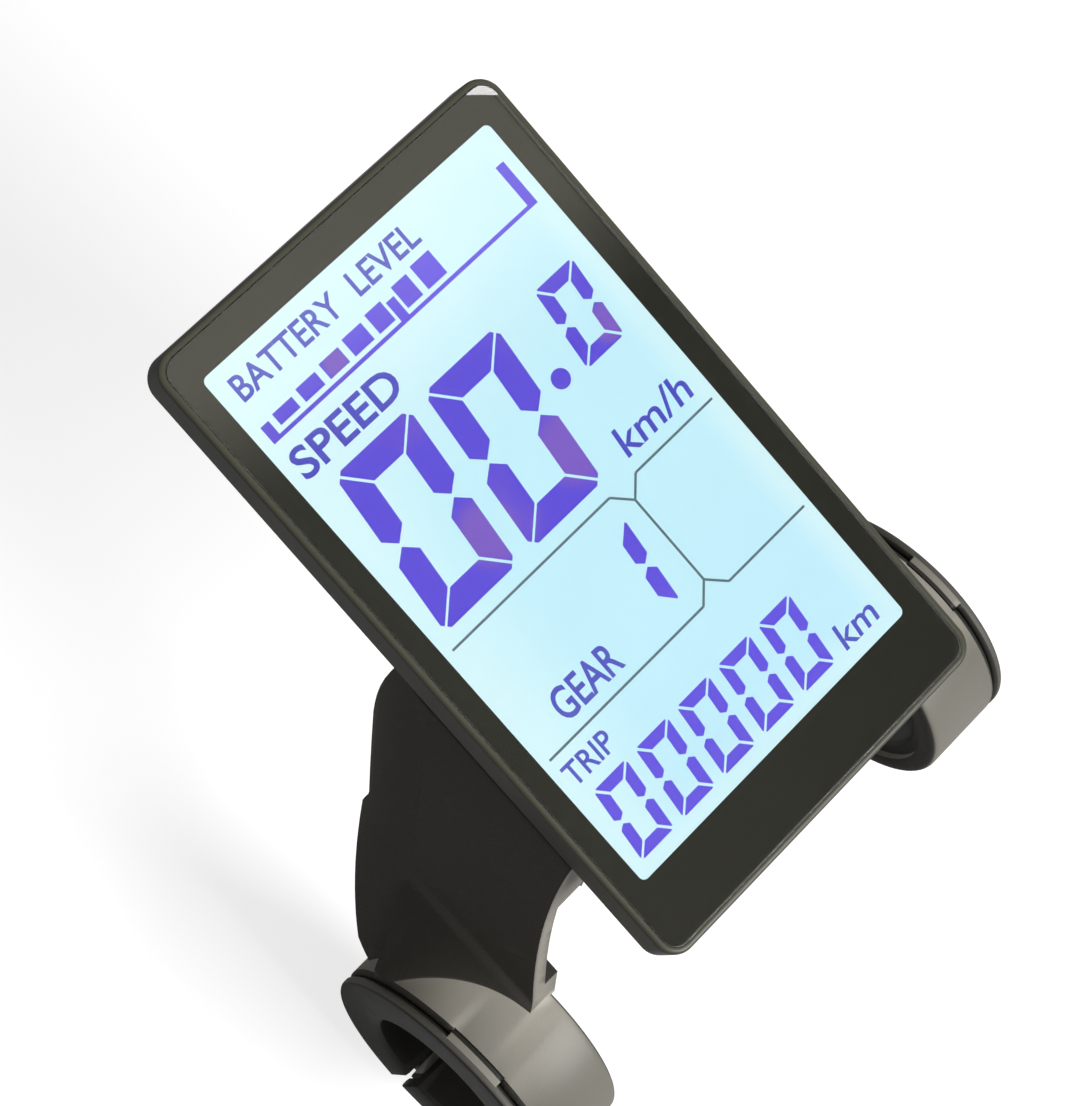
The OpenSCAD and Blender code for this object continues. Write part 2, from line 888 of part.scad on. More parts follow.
// Seal between the back shell's plate and the frame's ledge
module case_seal() {
    gap = frame_wall + 2 * seat_gap;
    r = head_corner_r - gap;
    color(rubber_colour)
        translate([0, head_mid_y, 0])
            edge_run(head_w - 2 * gap, head_h - 2 * gap, r)
                translate([r - seal_w, plate_z])
                    square([seal_w, seal_t]);
}

// Outer or inner form of the belly: its plan cut by its two rounded side outlines
module belly_form(w, low_y, high_y, back_z, top_z, plan_r, edge_r) {
    h = high_y - low_y;
    mid = (low_y + high_y) / 2;
    intersection() {
        slab(w, h, plan_r, mid, back_z, top_z - back_z);
        translate([0, high_y + overrun, 0])
            rotate([90, 0, 0])
                linear_extrude(h + 2 * overrun)
                    trough(w, back_z, top_z + overrun, edge_r);
        translate([-w / 2 - overrun, mid, 0])
            rotate([90, 0, 90])
                linear_extrude(w + 2 * overrun)
                    trough(h, back_z, top_z + overrun, edge_r);
    }
}

module trough(w, low, high, r) {
    polygon(concat(
        [[-w / 2, high]],
        arc([-w / 2 + r, low + r], r, 180, 270),
        arc([w / 2 - r, low + r], r, 270, 360),
        [[w / 2, high]]
    ));
}

// Back shell
module rear_case() {
    inner_w = belly_w - 2 * belly_wall;
    color(plastic_colour)
        difference() {
            union() {
                difference() {
                    union() {
                        slab(plate_w, plate_h, plate_corner_r, head_mid_y, frame_back_z, plate_t);
                        belly_form(
                            belly_w, belly_low_y, belly_top_y, belly_back_z,
                            frame_back_z + plate_t / 2, belly_corner_r, belly_edge_r
                        );
                        case_hooks();
                    }
                    belly_form(
                        inner_w, belly_low_y + belly_wall, belly_top_y - belly_wall, belly_floor_z,
                        plate_z + overrun, belly_corner_r - belly_wall, belly_edge_r - belly_wall
                    );
                }
                board_corners()
                    translate([0, 0, belly_floor_z - back_wall / 2])
                        cylinder(d = post_d, h = board_lift + back_wall / 2);
                arm_screw_places()
                    translate([0, 0, belly_back_z + back_wall / 2])
                        cylinder(d = arm_boss_d, h = arm_boss_l + back_wall / 2);
                shell_ribs(inner_w);
            }
            board_corners()
                translate([0, 0, board_back_z - board_screw_l])
                    cylinder(d = board_screw_d + 2 * slip_gap, h = board_screw_l + overrun);
            arm_screw_places()
                translate([0, 0, belly_back_z - overrun])
                    cylinder(d = arm_screw_d + 2 * slip_gap, h = arm_screw_l - foot_t + 2 * overrun);
            case_screw_holes();
            gland_hole();
        }
}

// Hole for the gland's neck, with a flat seat inside for its lip
module gland_hole() {
    translate([0, belly_low_y + belly_wall + gland_lip_t, gland_z])
        rotate([90, 0, 0]) {
            cylinder(r = gland_neck_r, h = belly_wall + gland_lip_t + overrun);
            cylinder(r = gland_lip_r + slip_gap, h = gland_lip_t);
        }
}

// Stiffening ribs across the shell's floor
module shell_ribs(w) {
    rib_h = board_lift / 3;
    for (s = shell_rib_shares)
        translate([
            -w / 2 - belly_wall / 2,
            between(belly_low_y, belly_top_y, s) - rib_t / 2,
            belly_floor_z - back_wall / 2
        ])
            cube([w + belly_wall, rib_t, rib_h + back_wall / 2]);
}

module case_hooks() {
    for (x = [-1, 1])
        translate([
            x * hook_in_x - hook_w / 2,
            head_low_y + head_h - frame_wall - seat_gap - overrun,
            frame_back_z + hook_t
        ])
            cube([hook_w, hook_reach + overrun + seat_gap / 2, hook_t]);
}

module case_screw_holes() {
    for (x = [-1, 1])
        translate([x * case_screw_x(), case_screw_y(), frame_back_z]) {
            translate([0, 0, -overrun])
                cylinder(d = case_screw_d + 2 * slip_gap, h = plate_t + 2 * overrun);
            translate([0, 0, -overrun])
                cylinder(d = case_head_d + 2 * seat_gap, h = case_head_recess + overrun);
        }
}

module case_screws() {
    color(steel_colour)
        for (x = [-1, 1])
            translate([x * case_screw_x(), case_screw_y(), frame_back_z + case_head_recess])
                pan_screw(case_screw_d, case_screw_l, case_head_d, case_head_t);
}

// Rubber gland: a neck through the wall, a lip inside, and a ribbed sleeve outside
module cable_gland() {
    rib_pitch = gland_out_l / gland_rib_count;
    color(rubber_colour)
        translate([0, belly_low_y + belly_wall + gland_lip_t, gland_z])
            rotate([90, 0, 0])
                rotate_extrude()
                    difference() {
                        union() {
                            square([gland_neck_r, gland_l]);
                            square([gland_lip_r, gland_lip_t]);
                            for (i = [0:gland_rib_count - 1])
                                translate([0, gland_lip_t + belly_wall + i * rib_pitch])
                                    square([gland_lip_r, i == 0 ? 2 * gland_rib_w : gland_rib_w]);
                        }
                        translate([0, -overrun])
                            square([cable_d / 2, gland_l + 2 * overrun]);
                    }
}

// Bracket arms. Everything below is drawn for the right side and mirrored for the left.
module on_side(side) {
    mirror([side < 0 ? 1 : 0, 0, 0])
        children();
}

// The arm seen along the handlebar
module arm_side_outline() {
    front_root = [arm_front_root_y, ring_r * arm_front_root_share];
    front_top = [arm_front_top_y, arm_top_z];
    back_top = [arm_back_top_y, arm_top_z];
    back_root = ring_r * arm_back_root_share;
    front_bend = [
        between(front_root[0], front_top[0], arm_front_bend_share[0]),
        between(front_root[1], front_top[1], arm_front_bend_share[1])
    ];
    back_bend = [
        between(back_root[0], back_top[0], arm_back_bend_share[0]),
        between(back_root[1], back_top[1], arm_back_bend_share[1])
    ];
    polygon(concat(
        [[0, 0]],
        bend(front_root, front_bend, front_top),
        bend(back_top, back_bend, back_root)
    ));
}

// The arm seen along Y: flank, flare to the ring's outer end, and inner face
module arm_front_outline() {
    flare_top = [flank_x(flare_top_z), flare_top_z];
    flare_end = [ring_out, ring_r * flare_end_share];
    flare_bend = [
        between(flare_top[0], flare_end[0], flare_bend_share[0]),
        between(flare_end[1], flare_top[1], flare_bend_share[1])
    ];
    polygon(concat(
        [[ring_in, 0], [ring_in, ring_r * inner_knee_share]],
        [[arm_in_x, belly_back_z], [arm_in_x, arm_top_z], [arm_out_x, arm_top_z]],
        bend(flare_top, flare_bend, flare_end),
        [[ring_out, 0]]
    ));
}

// The lean and the splay that the arm's own directions have
module along_arm() {
    rotate([arm_lean - 90, -arm_splay, 0])
        children();
}

// Rounds the flank's back edge: a long block with a quarter of a round taken out, wider towards the ring
module arm_nose_cut() {
    flank = arm_out_x * cos(arm_splay) + arm_top_z * sin(arm_splay);
    long = 4 * face_z;
    along_arm()
        translate([flank - arm_nose_r, arm_nose_y, -long / 2])
            difference() {
                cube([2 * arm_nose_r, 2 * arm_nose_r, long]);
                translate([0, 0, -overrun])
                    cylinder(r = arm_nose_r, h = long + 2 * overrun, $fn = fine_sides);
                translate([0, 0, long / 2 - ring_r])
                    cylinder(
                        r1 = arm_nose_r + nose_foot_spread,
                        r2 = arm_nose_r,
                        h = 2 * ring_r + nose_foot_rise,
                        $fn = fine_sides
                    );
            }
}

module arm_blade() {
    difference() {
        intersection() {
            rotate([90, 0, 90])
                linear_extrude(ring_out)
                    arm_side_outline();
            translate([0, arm_back_top_y + overrun, 0])
                rotate([90, 0, 0])
                    linear_extrude(arm_back_top_y + 2 * overrun)
                        arm_front_outline();
        }
        arm_nose_cut();
        arm_hollow();
    }
}

// Hollow in the arm's inner side, crossed by two ribs
module arm_hollow() {
    low_z = ring_r + hollow_rim;
    high_z = belly_back_z - foot_t - hollow_rim / 2;
    intersection() {
        translate([0, arm_back_top_y, 0])
            rotate([90, 0, 0])
                linear_extrude(arm_back_top_y)
                    polygon([
                        [0, low_z],
                        [flank_x(low_z) - arm_skin, low_z],
                        [flank_x(high_z) - arm_skin, high_z],
                        [0, high_z]
                    ]);
        along_arm()
            for (i = [0:2])
                translate([0, hollow_y + i * (hollow_pitch() + rib_t), -face_z])
                    cube([2 * ring_out, hollow_pitch(), 3 * face_z]);
    }
}

function hollow_pitch() = (arm_nose_y + hollow_past_nose - hollow_y - 2 * rib_t) / 3;

// Foot under the back shell, with two gussets down the arm's inner face
module arm_foot() {
    foot_z = belly_back_z - foot_t;
    foot_h = foot_top_y - foot_low_y;
    reach = arm_in_x + arm_skin;
    foot_w = reach - foot_in_x;
    difference() {
        union() {
            translate([foot_in_x + foot_w / 2, (foot_low_y + foot_top_y) / 2, foot_z])
                linear_extrude(foot_t)
                    rounded_rect(foot_w, foot_h, foot_corner_r);
            translate([reach - foot_corner_r, foot_low_y, foot_z])
                cube([foot_corner_r, foot_h, foot_t]);
            for (s = gusset_shares)
                translate([0, between(foot_low_y, foot_top_y, s) + rib_t / 2, 0])
                    rotate([90, 0, 0])
                        linear_extrude(rib_t)
                            polygon([
                                [arm_in_x - gusset_in, foot_z + foot_t / 2],
                                [arm_in_x + 2 * arm_skin, foot_z + foot_t / 2],
                                [arm_in_x + 2 * arm_skin, foot_z - gusset_drop],
                                [arm_in_x + arm_skin, foot_z - gusset_drop]
                            ]);
        }
        arm_screw_places_right()
            translate([0, 0, foot_z - overrun])
                cylinder(d = arm_screw_d + 2 * slip_gap, h = foot_t + 2 * overrun);
    }
}

module arm_screw_places_right() {
    for (y = [arm_screw_low_y, arm_screw_high_y])
        translate([arm_screw_x, y, 0])
            children();
}

module arm_screw_places() {
    for (side = [-1, 1])
        on_side(side)
            arm_screw_places_right()
                children();
}

// Turns a profile of radius and distance along the handlebar about the handlebar's axis
module turned() {
    rotate([0, 90, 0])
        rotate_extrude($fn = fine_sides)
            children();
}

module ring_body() {
    r = ring_r;
    e = ring_edge_r;
    turned()
        polygon(concat(
            [[insert_r / 2, ring_in]],
            arc([r - e, ring_in + e], e, -90, 0),
            [[r, ring_out - ring_lip], [r - ring_lip, ring_out], [insert_r / 2, ring_out]]
        ));
}

// Two lugs beside the slit, on the ring's far side from the head
module lug_pair() {
    translate([lug_x, lug_reach, 0])
        rotate([90, 0, 0])
            linear_extrude(2 * lug_reach) {
                translate([0, lug_z])
                    circle(lug_r);
                translate([-lug_r, lug_z])
                    square([2 * lug_r, -lug_z - insert_r]);
            }
}

module lug_holes() {
    translate([lug_x, 0, lug_z])
        rotate([90, 0, 0]) {
            translate([0, 0, -lug_reach - overrun])
                cylinder(d = clamp_screw_d + 2 * seat_gap, h = 2 * (lug_reach + overrun));
            translate([0, 0, -lug_reach - overrun])
                cylinder(d = nut_d + 2 * nut_gap, h = lug_socket + overrun, $fn = 6);
        }
}

module ring_cuts() {
    turned()
        translate([0, ring_in - overrun])
            square([insert_r, ring_w + 2 * overrun]);
    turned()
        translate([0, ring_in - overrun])
            square([recess_r, recess_d + overrun]);
    translate([ring_in - overrun, -slit_w / 2, lug_z - lug_r - overrun])
        cube([ring_w + 2 * overrun, slit_w, lug_r - lug_z + overrun - insert_r / 2]);
    key_notch(key_gap);
}

// Notch for the insert's key, or the key itself with no gap
module key_notch(gap) {
    from = key_from - gap / ring_r * 180 / PI;
    to = key_to + gap / ring_r * 180 / PI;
    rotate([0, 90, 0])
        rotate(180 - to)
            translate([0, 0, ring_out - key_w - gap])
                rotate_extrude(angle = to - from, $fn = fine_sides)
                    translate([ring_r - key_depth - gap, 0])
                        square([key_depth + gap + overrun, key_w + gap + overrun]);
}

module arm() {
    color(plastic_colour) {
        difference() {
            union() {
                arm_blade();
                ring_body();
                lug_pair();
            }
            ring_cuts();
            lug_holes();
        }
        arm_foot();
    }
}

module left_arm() { on_side(-1) arm(); }
module right_arm() { on_side(1) arm(); }

// Screws from below the feet into the belly's bosses
module arm_screws() {
    color(steel_colour)
        arm_screw_places()
            translate([0, 0, belly_back_z - foot_t])
                pan_screw(arm_screw_d, arm_screw_l, arm_screw_head_d, arm_screw_head_t);
}

// Split sleeve that fills the ring down to the handlebar, with a flange and a key outside the ring
module insert() {
    flange_x = ring_out + flange_gap;
    flange_end = ring_out + flange_w;
    e = flange_edge_r;
    color(rubber_colour)
        difference() {
            union() {
                turned()
                    polygon(concat(
                        [
                            [bar_r + insert_chamfer, ring_in + recess_d],
                            [insert_r, ring_in + recess_d],
                            [insert_r, flange_x - flange_gap],
                            [insert_r, flange_x],
                            [ring_r - flange_slot_w, flange_x]
                        ],
                        [[ring_r, flange_x + flange_slot_w]],
                        arc([ring_r - e, flange_end - e], e, 0, 90),
                        [
                            [bar_r + insert_chamfer, flange_end],
                            [bar_r, flange_end - insert_chamfer],
                            [bar_r, ring_in + recess_d + insert_chamfer]
                        ]
                    ));
                insert_key();
            }
            translate([ring_in - overrun, -slit_w / 2, -ring_r - overrun])
                cube([ring_w + flange_w + 2 * overrun, slit_w, ring_r + overrun]);
        }
}

// The key: a short bar on the flange that fills the ring's notch
module insert_key() {
    rotate([0, 90, 0])
        rotate(180 - key_to)
            translate([0, 0, ring_out - key_w])
                rotate_extrude(angle = key_to - key_from, $fn = fine_sides)
                    translate([ring_r - key_depth, 0])
                        square([key_depth, key_w + flange_w / 2]);
}

module left_insert() { on_side(-1) insert(); }
module right_insert() { on_side(1) insert(); }

// Clamp screw along Y, its head on the side away from the display's top edge
module clamp_screw() {
    seat_y = -lug_reach - washer_t;
    color(steel_colour)
        translate([lug_x, seat_y, lug_z])
            rotate([-90, 0, 0])
                difference() {
                    union() {
                        cylinder(d = clamp_screw_d, h = clamp_screw_l);
                        rotate_extrude()
                            polygon([
                                [0, 0], [clamp_head_d / 2, 0],
                                [clamp_head_d / 2, head_chamfer - clamp_head_t],
                                [clamp_head_d / 2 - head_chamfer, -clamp_head_t],
                                [0, -clamp_head_t]
                            ]);
                    }
                    translate([0, 0, -clamp_head_t - overrun])
                        cylinder(d = drive_d, h = drive_depth + overrun, $fn = 6);
                }
}

module clamp_washer() {
    color(steel_colour)
        translate([lug_x, -lug_reach, lug_z])
            rotate([90, 0, 0])
                difference() {
                    cylinder(d = washer_d, h = washer_t);
                    translate([0, 0, -overrun])
                        cylinder(d = clamp_screw_d + 2 * seat_gap, h = washer_t + 2 * overrun);
                }
}

module clamp_nut() {
    color(steel_colour)
        translate([lug_x, nut_seat_y + nut_t, lug_z])
            rotate([90, 0, 0])
                difference() {
                    cylinder(d = nut_d, h = nut_t, $fn = 6);
                    translate([0, 0, -overrun])
                        cylinder(d = clamp_screw_d + 2 * slip_gap, h = nut_t + 2 * overrun);
                }
}

module left_clamp_screw() { on_side(-1) clamp_screw(); }
module right_clamp_screw() { on_side(1) clamp_screw(); }
module left_clamp_washer() { on_side(-1) clamp_washer(); }
module right_clamp_washer() { on_side(1) clamp_washer(); }
module left_clamp_nut() { on_side(-1) clamp_nut(); }
module right_clamp_nut() { on_side(1) clamp_nut(); }

cover_glass();
border_mask();
glass_tape();
front_frame();
front_polarizer();
lcd_front_glass();
lcd_edge_seal();
lcd_segments();
lcd_rear_glass();
rear_polarizer();
diffuser_sheet();
light_guide();
reflector_sheet();
backlight_leds();
backlight_frame();
lcd_ribbon();
circuit_board();
controller_chip();
driver_chip();
power_coil();
supply_capacitors();
ribbon_socket();
cable_socket();
board_screws();
case_seal();
rear_case();
case_screws();
cable_gland();
left_arm();
right_arm();
arm_screws();
left_insert();
right_insert();
left_clamp_screw();
right_clamp_screw();
left_clamp_washer();
right_clamp_washer();
left_clamp_nut();
right_clamp_nut();
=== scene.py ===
"""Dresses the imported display: finishes, softened mouldings, screen words, threads, camera and studio."""

import json
import math

import bmesh
import bpy
import numpy as np
from mathutils import Matrix, Quaternion, Vector


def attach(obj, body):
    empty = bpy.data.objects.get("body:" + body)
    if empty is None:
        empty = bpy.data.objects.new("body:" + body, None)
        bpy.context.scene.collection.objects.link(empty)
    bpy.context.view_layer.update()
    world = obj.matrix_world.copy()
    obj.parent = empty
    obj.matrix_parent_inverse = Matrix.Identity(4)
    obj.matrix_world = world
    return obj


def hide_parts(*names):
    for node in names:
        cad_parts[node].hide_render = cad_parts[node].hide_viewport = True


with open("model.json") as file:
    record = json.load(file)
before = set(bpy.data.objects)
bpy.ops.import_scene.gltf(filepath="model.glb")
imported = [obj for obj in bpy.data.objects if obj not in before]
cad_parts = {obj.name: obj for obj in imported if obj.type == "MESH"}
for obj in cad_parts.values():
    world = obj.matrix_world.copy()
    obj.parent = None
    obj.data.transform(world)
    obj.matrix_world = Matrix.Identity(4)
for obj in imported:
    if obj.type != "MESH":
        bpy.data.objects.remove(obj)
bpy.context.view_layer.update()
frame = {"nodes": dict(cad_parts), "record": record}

nodes = frame["nodes"]
slots = {part["node"]: part["material_slot"] for part in frame["record"]["subparts"]}
MM = 0.001

# Sizes of the display in millimetres, as the solids have them
FACE_Z = 60.1
GLASS_T = 1.2
HEAD_MID_Y = 57.0
GLASS_W = 63.0
GLASS_H = 105.8
GLASS_CORNER_R = 2.6
CELL_LOW_Z = 57.7
CELL_TOP_Z = 57.8
WINDOW_MID_Y = 59.6
DIVIDER_LOW_Y = 35.15
DIVIDER_HIGH_Y = 55.35
DIVIDER_X = 8.35
RING_R = 20.9
RING_OUT = 52.05
KEY_FROM = -3.0
KEY_TO = 25.0
LUG_X = 44.65
LUG_Z = -24.7
SCREW_SEAT_Y = -8.05
SCREW_D = 4.0
SCREW_LENGTH = 16.3
SCREW_HEAD_D = 7.0
SCREW_HEAD_T = 4.0
SCREW_DRIVE_D = 3.44
SCREW_DRIVE_DEPTH = 2.2
SCREW_PITCH = 0.7

# The dressing's own sizes in millimetres; a patch is its middle's X and Y and its reach
LAYER_GAP = 0.02
PANE_EDGE = 0.06
DIVIDER_BAND = 2.9
DIVIDER_MARGIN = 0.2
POST_HALF = 0.6
PURPLE_PATCHES = ((-10.9, 63.6, 6.2), (6.5, 64.2, 7.0), (-11.4, 94.6, 2.6), (22.6, 73.4, 3.8))
RING_EDGE = 0.7
KEY_REACH = 1.0
SCREW_PLAIN = 1.2
SCREW_TIP = 0.4
THREAD_DEPTH = 0.36

# Edges that turn by more than this are softened
BEVEL_DEGREES = 28


def srgb(red, green, blue):
    """A colour given as the eye reads it, from 0 to 255, as the linear colour that a shader takes."""
    values = np.array([red, green, blue]) / 255.0
    linear = np.where(values <= 0.04045, values / 12.92, ((values + 0.055) / 1.055) ** 2.4)
    return (*linear.tolist(), 1.0)


# Camera: the photograph's viewpoint, worked out from the head's edges, the screen and the rings
CAMERA_PLACE = Vector((-0.1679, 0.1284, 0.5012))
CAMERA_RIGHT = Vector((0.6752, -0.6494, 0.3499))
CAMERA_UP = Vector((0.6563, 0.7454, 0.1170))
CAMERA_BACK = Vector((-0.3368, 0.1506, 0.9295))
CAMERA_LENS = 113.4


def add_camera():
    """The camera looks against its back direction; the three directions are the columns of its turn."""
    data = bpy.data.cameras.new("camera")
    data.lens = CAMERA_LENS
    data.sensor_width = 36.0
    camera = bpy.data.objects.new("camera", data)
    bpy.context.scene.collection.objects.link(camera)
    turn = Matrix((CAMERA_RIGHT, CAMERA_UP, CAMERA_BACK)).transposed()
    camera.matrix_world = Matrix.Translation(CAMERA_PLACE) @ turn.to_4x4()
    bpy.context.scene.camera = camera


add_camera()


# Shader helpers


def feed(tree, socket, value):
    """Links a socket to another node's output, or sets its plain value."""
    if isinstance(value, bpy.types.NodeSocket):
        tree.links.new(value, socket)
    else:
        socket.default_value = value


def add(tree, kind, inputs=None, **settings):
    """Adds a node with its settings, then links or sets each named or numbered input."""
    node = tree.nodes.new(kind)
    for key, value in settings.items():
        setattr(node, key, value)
    for key, value in (inputs or {}).items():
        feed(tree, node.inputs[key], value)
    return node


def maths(tree, operation, first, second=0.0, clamp=False):
    """The result of one sum on two values."""
    return add(tree, "ShaderNodeMath", {0: first, 1: second}, operation=operation, use_clamp=clamp).outputs[0]


def ramp(tree, value, low, high, out_low=0.0, out_high=1.0):
    """Carries a value smoothly from one range to another."""
    inputs = {"Value": value, "From Min": low, "From Max": high, "To Min": out_low, "To Max": out_high}
    return add(tree, "ShaderNodeMapRange", inputs, interpolation_type="SMOOTHSTEP").outputs["Result"]


def mixed(tree, share, first, second, kind="RGBA"):
    """A colour, or with the kind FLOAT a value, part of the way from the first to the second."""
    inputs = {"Factor": share, "A": first, "B": second}
    return add(tree, "ShaderNodeMix", inputs, data_type=kind).outputs["Result"]


def noise(tree, place, scale, detail=2.0, roughness=0.5):
    """Cloudy noise from 0 to 1 at a number of waves per metre."""
    inputs = {"Vector": place, "Scale": scale, "Detail": detail, "Roughness": roughness}
    return add(tree, "ShaderNodeTexNoise", inputs).outputs["Fac"]


def object_place(tree):
    """Where a point lies on its piece."""
    return add(tree, "ShaderNodeTexCoord").outputs["Object"]


def split(tree, vector):
    """A vector's three parts, along X, Y and Z."""
    return add(tree, "ShaderNodeSeparateXYZ", {"Vector": vector}).outputs


def facing_parts(tree):
    """The way a face looks, as its three parts."""
    return split(tree, add(tree, "ShaderNodeNewGeometry").outputs["True Normal"])


def new_group(name, inputs, outputs):
    """A node group with named inputs and outputs; returns its tree, its input node and its output node."""
    tree = bpy.data.node_groups.new(name, "ShaderNodeTree")
    for label, kind, value in inputs:
        socket = tree.interface.new_socket(label, in_out="INPUT", socket_type=kind)
        socket.default_value = value
    for label, kind in outputs:
        tree.interface.new_socket(label, in_out="OUTPUT", socket_type=kind)
    return tree, tree.nodes.new("NodeGroupInput"), tree.nodes.new("NodeGroupOutput")


FLOAT = "NodeSocketFloat"
COLOUR = "NodeSocketColor"


def moulding_group():
    """Moulded plastic: fine spark-eroded grain for the height, slow clouds for tone and gloss, faint rubs."""
    tree, start, end = new_group(
        "moulded surface",
        [
            ("Colour", COLOUR, (0.05, 0.05, 0.05, 1)),
            ("Worn colour", COLOUR, (0.08, 0.08, 0.08, 1)),
            ("Roughness", FLOAT, 0.5),
            ("Grain per metre", FLOAT, 3000.0),
            ("Grain depth", FLOAT, 0.5),
            ("Handling", FLOAT, 0.5),
        ],
        [("Colour", COLOUR), ("Roughness", FLOAT), ("Height", FLOAT)],
    )
    place = object_place(tree)
    grain = noise(tree, place, start.outputs["Grain per metre"], 3.0, 0.6)
    cells = add(tree, "ShaderNodeTexVoronoi", {"Vector": place, "Scale": start.outputs["Grain per metre"]})
    pits = ramp(tree, cells.outputs["Distance"], 0.1, 0.7)
    clouds = noise(tree, place, 55.0, 4.0, 0.6)
    rubs = ramp(tree, noise(tree, place, 130.0, 6.0, 0.75), 0.56, 0.72)
    handled = maths(tree, "MULTIPLY", rubs, start.outputs["Handling"])
    tone = maths(tree, "ADD", maths(tree, "MULTIPLY", clouds, 0.35), maths(tree, "MULTIPLY", grain, 0.3))
    tone = maths(tree, "ADD", tone, maths(tree, "MULTIPLY", handled, 0.45), clamp=True)
    colour = mixed(tree, tone, start.outputs["Colour"], start.outputs["Worn colour"])
    spread = maths(tree, "MULTIPLY", maths(tree, "SUBTRACT", clouds, 0.5), 0.16)
    shine = maths(tree, "SUBTRACT", spread, maths(tree, "MULTIPLY", handled, 0.1))
    rough = maths(tree, "ADD", start.outputs["Roughness"], shine, clamp=True)
    height = maths(tree, "MULTIPLY", maths(tree, "ADD", grain, pits), start.outputs["Grain depth"])
    feed(tree, end.inputs["Colour"], colour)
    feed(tree, end.inputs["Roughness"], rough)
    feed(tree, end.inputs["Height"], height)
    return tree


def turned_metal_group():
    """Plated steel: fine lathe rings for the height, with tarnish clouds in tone and roughness."""
    tree, start, end = new_group(
        "turned metal",
        [
            ("Colour", COLOUR, (0.5, 0.5, 0.5, 1)),
            ("Tarnish", COLOUR, (0.3, 0.28, 0.25, 1)),
            ("Roughness", FLOAT, 0.3),
            ("Lines per metre", FLOAT, 9000.0),
        ],
        [("Colour", COLOUR), ("Roughness", FLOAT), ("Height", FLOAT)],
    )
    place = object_place(tree)
    drawn = add(tree, "ShaderNodeMapping", {"Vector": place, "Scale": (0.05, 1.0, 0.05)}).outputs["Vector"]
    lines = noise(tree, drawn, start.outputs["Lines per metre"], 2.0, 0.5)
    clouds = noise(tree, place, 300.0, 5.0, 0.65)
    stains = ramp(tree, clouds, 0.5, 0.8)
    colour = mixed(tree, stains, start.outputs["Colour"], start.outputs["Tarnish"])
    extra = maths(tree, "ADD", maths(tree, "MULTIPLY", stains, 0.25), maths(tree, "MULTIPLY", lines, 0.1))
    rough = maths(tree, "ADD", start.outputs["Roughness"], extra, clamp=True)
    feed(tree, end.inputs["Colour"], colour)
    feed(tree, end.inputs["Roughness"], rough)
    feed(tree, end.inputs["Height"], lines)
    return tree


def lit_panel_group():
    """The lit screen: three tones that flow into each other, with a paler glow along the window's edges."""
    tree, start, end = new_group(
        "lit panel",
        [
            ("Upper colour", COLOUR, (1, 1, 1, 1)),
            ("Middle colour", COLOUR, (1, 1, 1, 1)),
            ("Lower colour", COLOUR, (1, 1, 1, 1)),
            ("Edge colour", COLOUR, (1, 1, 1, 1)),
        ],
        [("Colour", COLOUR)],
    )
    place = object_place(tree)
    across, along, _ = split(tree, place)
    slow = maths(tree, "MULTIPLY", maths(tree, "SUBTRACT", noise(tree, place, 28.0, 3.0), 0.5), 0.5)
    slanted = maths(tree, "SUBTRACT", along, maths(tree, "MULTIPLY", across, 0.3))
    lower = ramp(tree, slanted, 52 * MM, 12 * MM)
    upper = ramp(tree, slanted, 66 * MM, 104 * MM)
    flow = maths(tree, "ADD", upper, maths(tree, "MULTIPLY", slow, 0.6), clamp=True)
    colour = mixed(tree, lower, start.outputs["Middle colour"], start.outputs["Lower colour"])
    colour = mixed(tree, flow, colour, start.outputs["Upper colour"])
    right_glow = ramp(tree, across, 22.5 * MM, 28.5 * MM)
    left_glow = ramp(tree, across, -10 * MM, -27 * MM)
    from_middle = maths(tree, "ABSOLUTE", maths(tree, "SUBTRACT", along, WINDOW_MID_Y * MM))
    end_glow = ramp(tree, from_middle, 38.5 * MM, 46.2 * MM)
    glow = maths(tree, "MAXIMUM", maths(tree, "MAXIMUM", right_glow, left_glow), end_glow)
    glow = maths(tree, "MULTIPLY", glow, maths(tree, "ADD", slow, 0.7), clamp=True)
    feed(tree, end.inputs["Colour"], mixed(tree, glow, colour, start.outputs["Edge colour"]))
    return tree


def strip_mask(tree, value, middle, half):
    """1 where a coordinate in metres lies within half of middle, both in millimetres."""
    away = maths(tree, "ABSOLUTE", maths(tree, "SUBTRACT", value, middle * MM))
    return maths(tree, "LESS_THAN", away, half * MM)


def divider_mask(tree, across, along):
    """1 where the thin lines that part the screen lie: in two level bands and a post between them."""
    low_middle = DIVIDER_LOW_Y + DIVIDER_BAND / 2 - DIVIDER_MARGIN
    high_middle = DIVIDER_HIGH_Y - DIVIDER_BAND / 2 + DIVIDER_MARGIN
    low_line = strip_mask(tree, along, low_middle, DIVIDER_BAND / 2)
    high_line = strip_mask(tree, along, high_middle, DIVIDER_BAND / 2)
    post_middle = (DIVIDER_LOW_Y + DIVIDER_HIGH_Y) / 2
    between = strip_mask(tree, along, post_middle, (DIVIDER_HIGH_Y - DIVIDER_LOW_Y) / 2)
    post = maths(tree, "MULTIPLY", strip_mask(tree, across, DIVIDER_X, POST_HALF), between)
    return maths(tree, "MAXIMUM", maths(tree, "MAXIMUM", low_line, high_line), post)


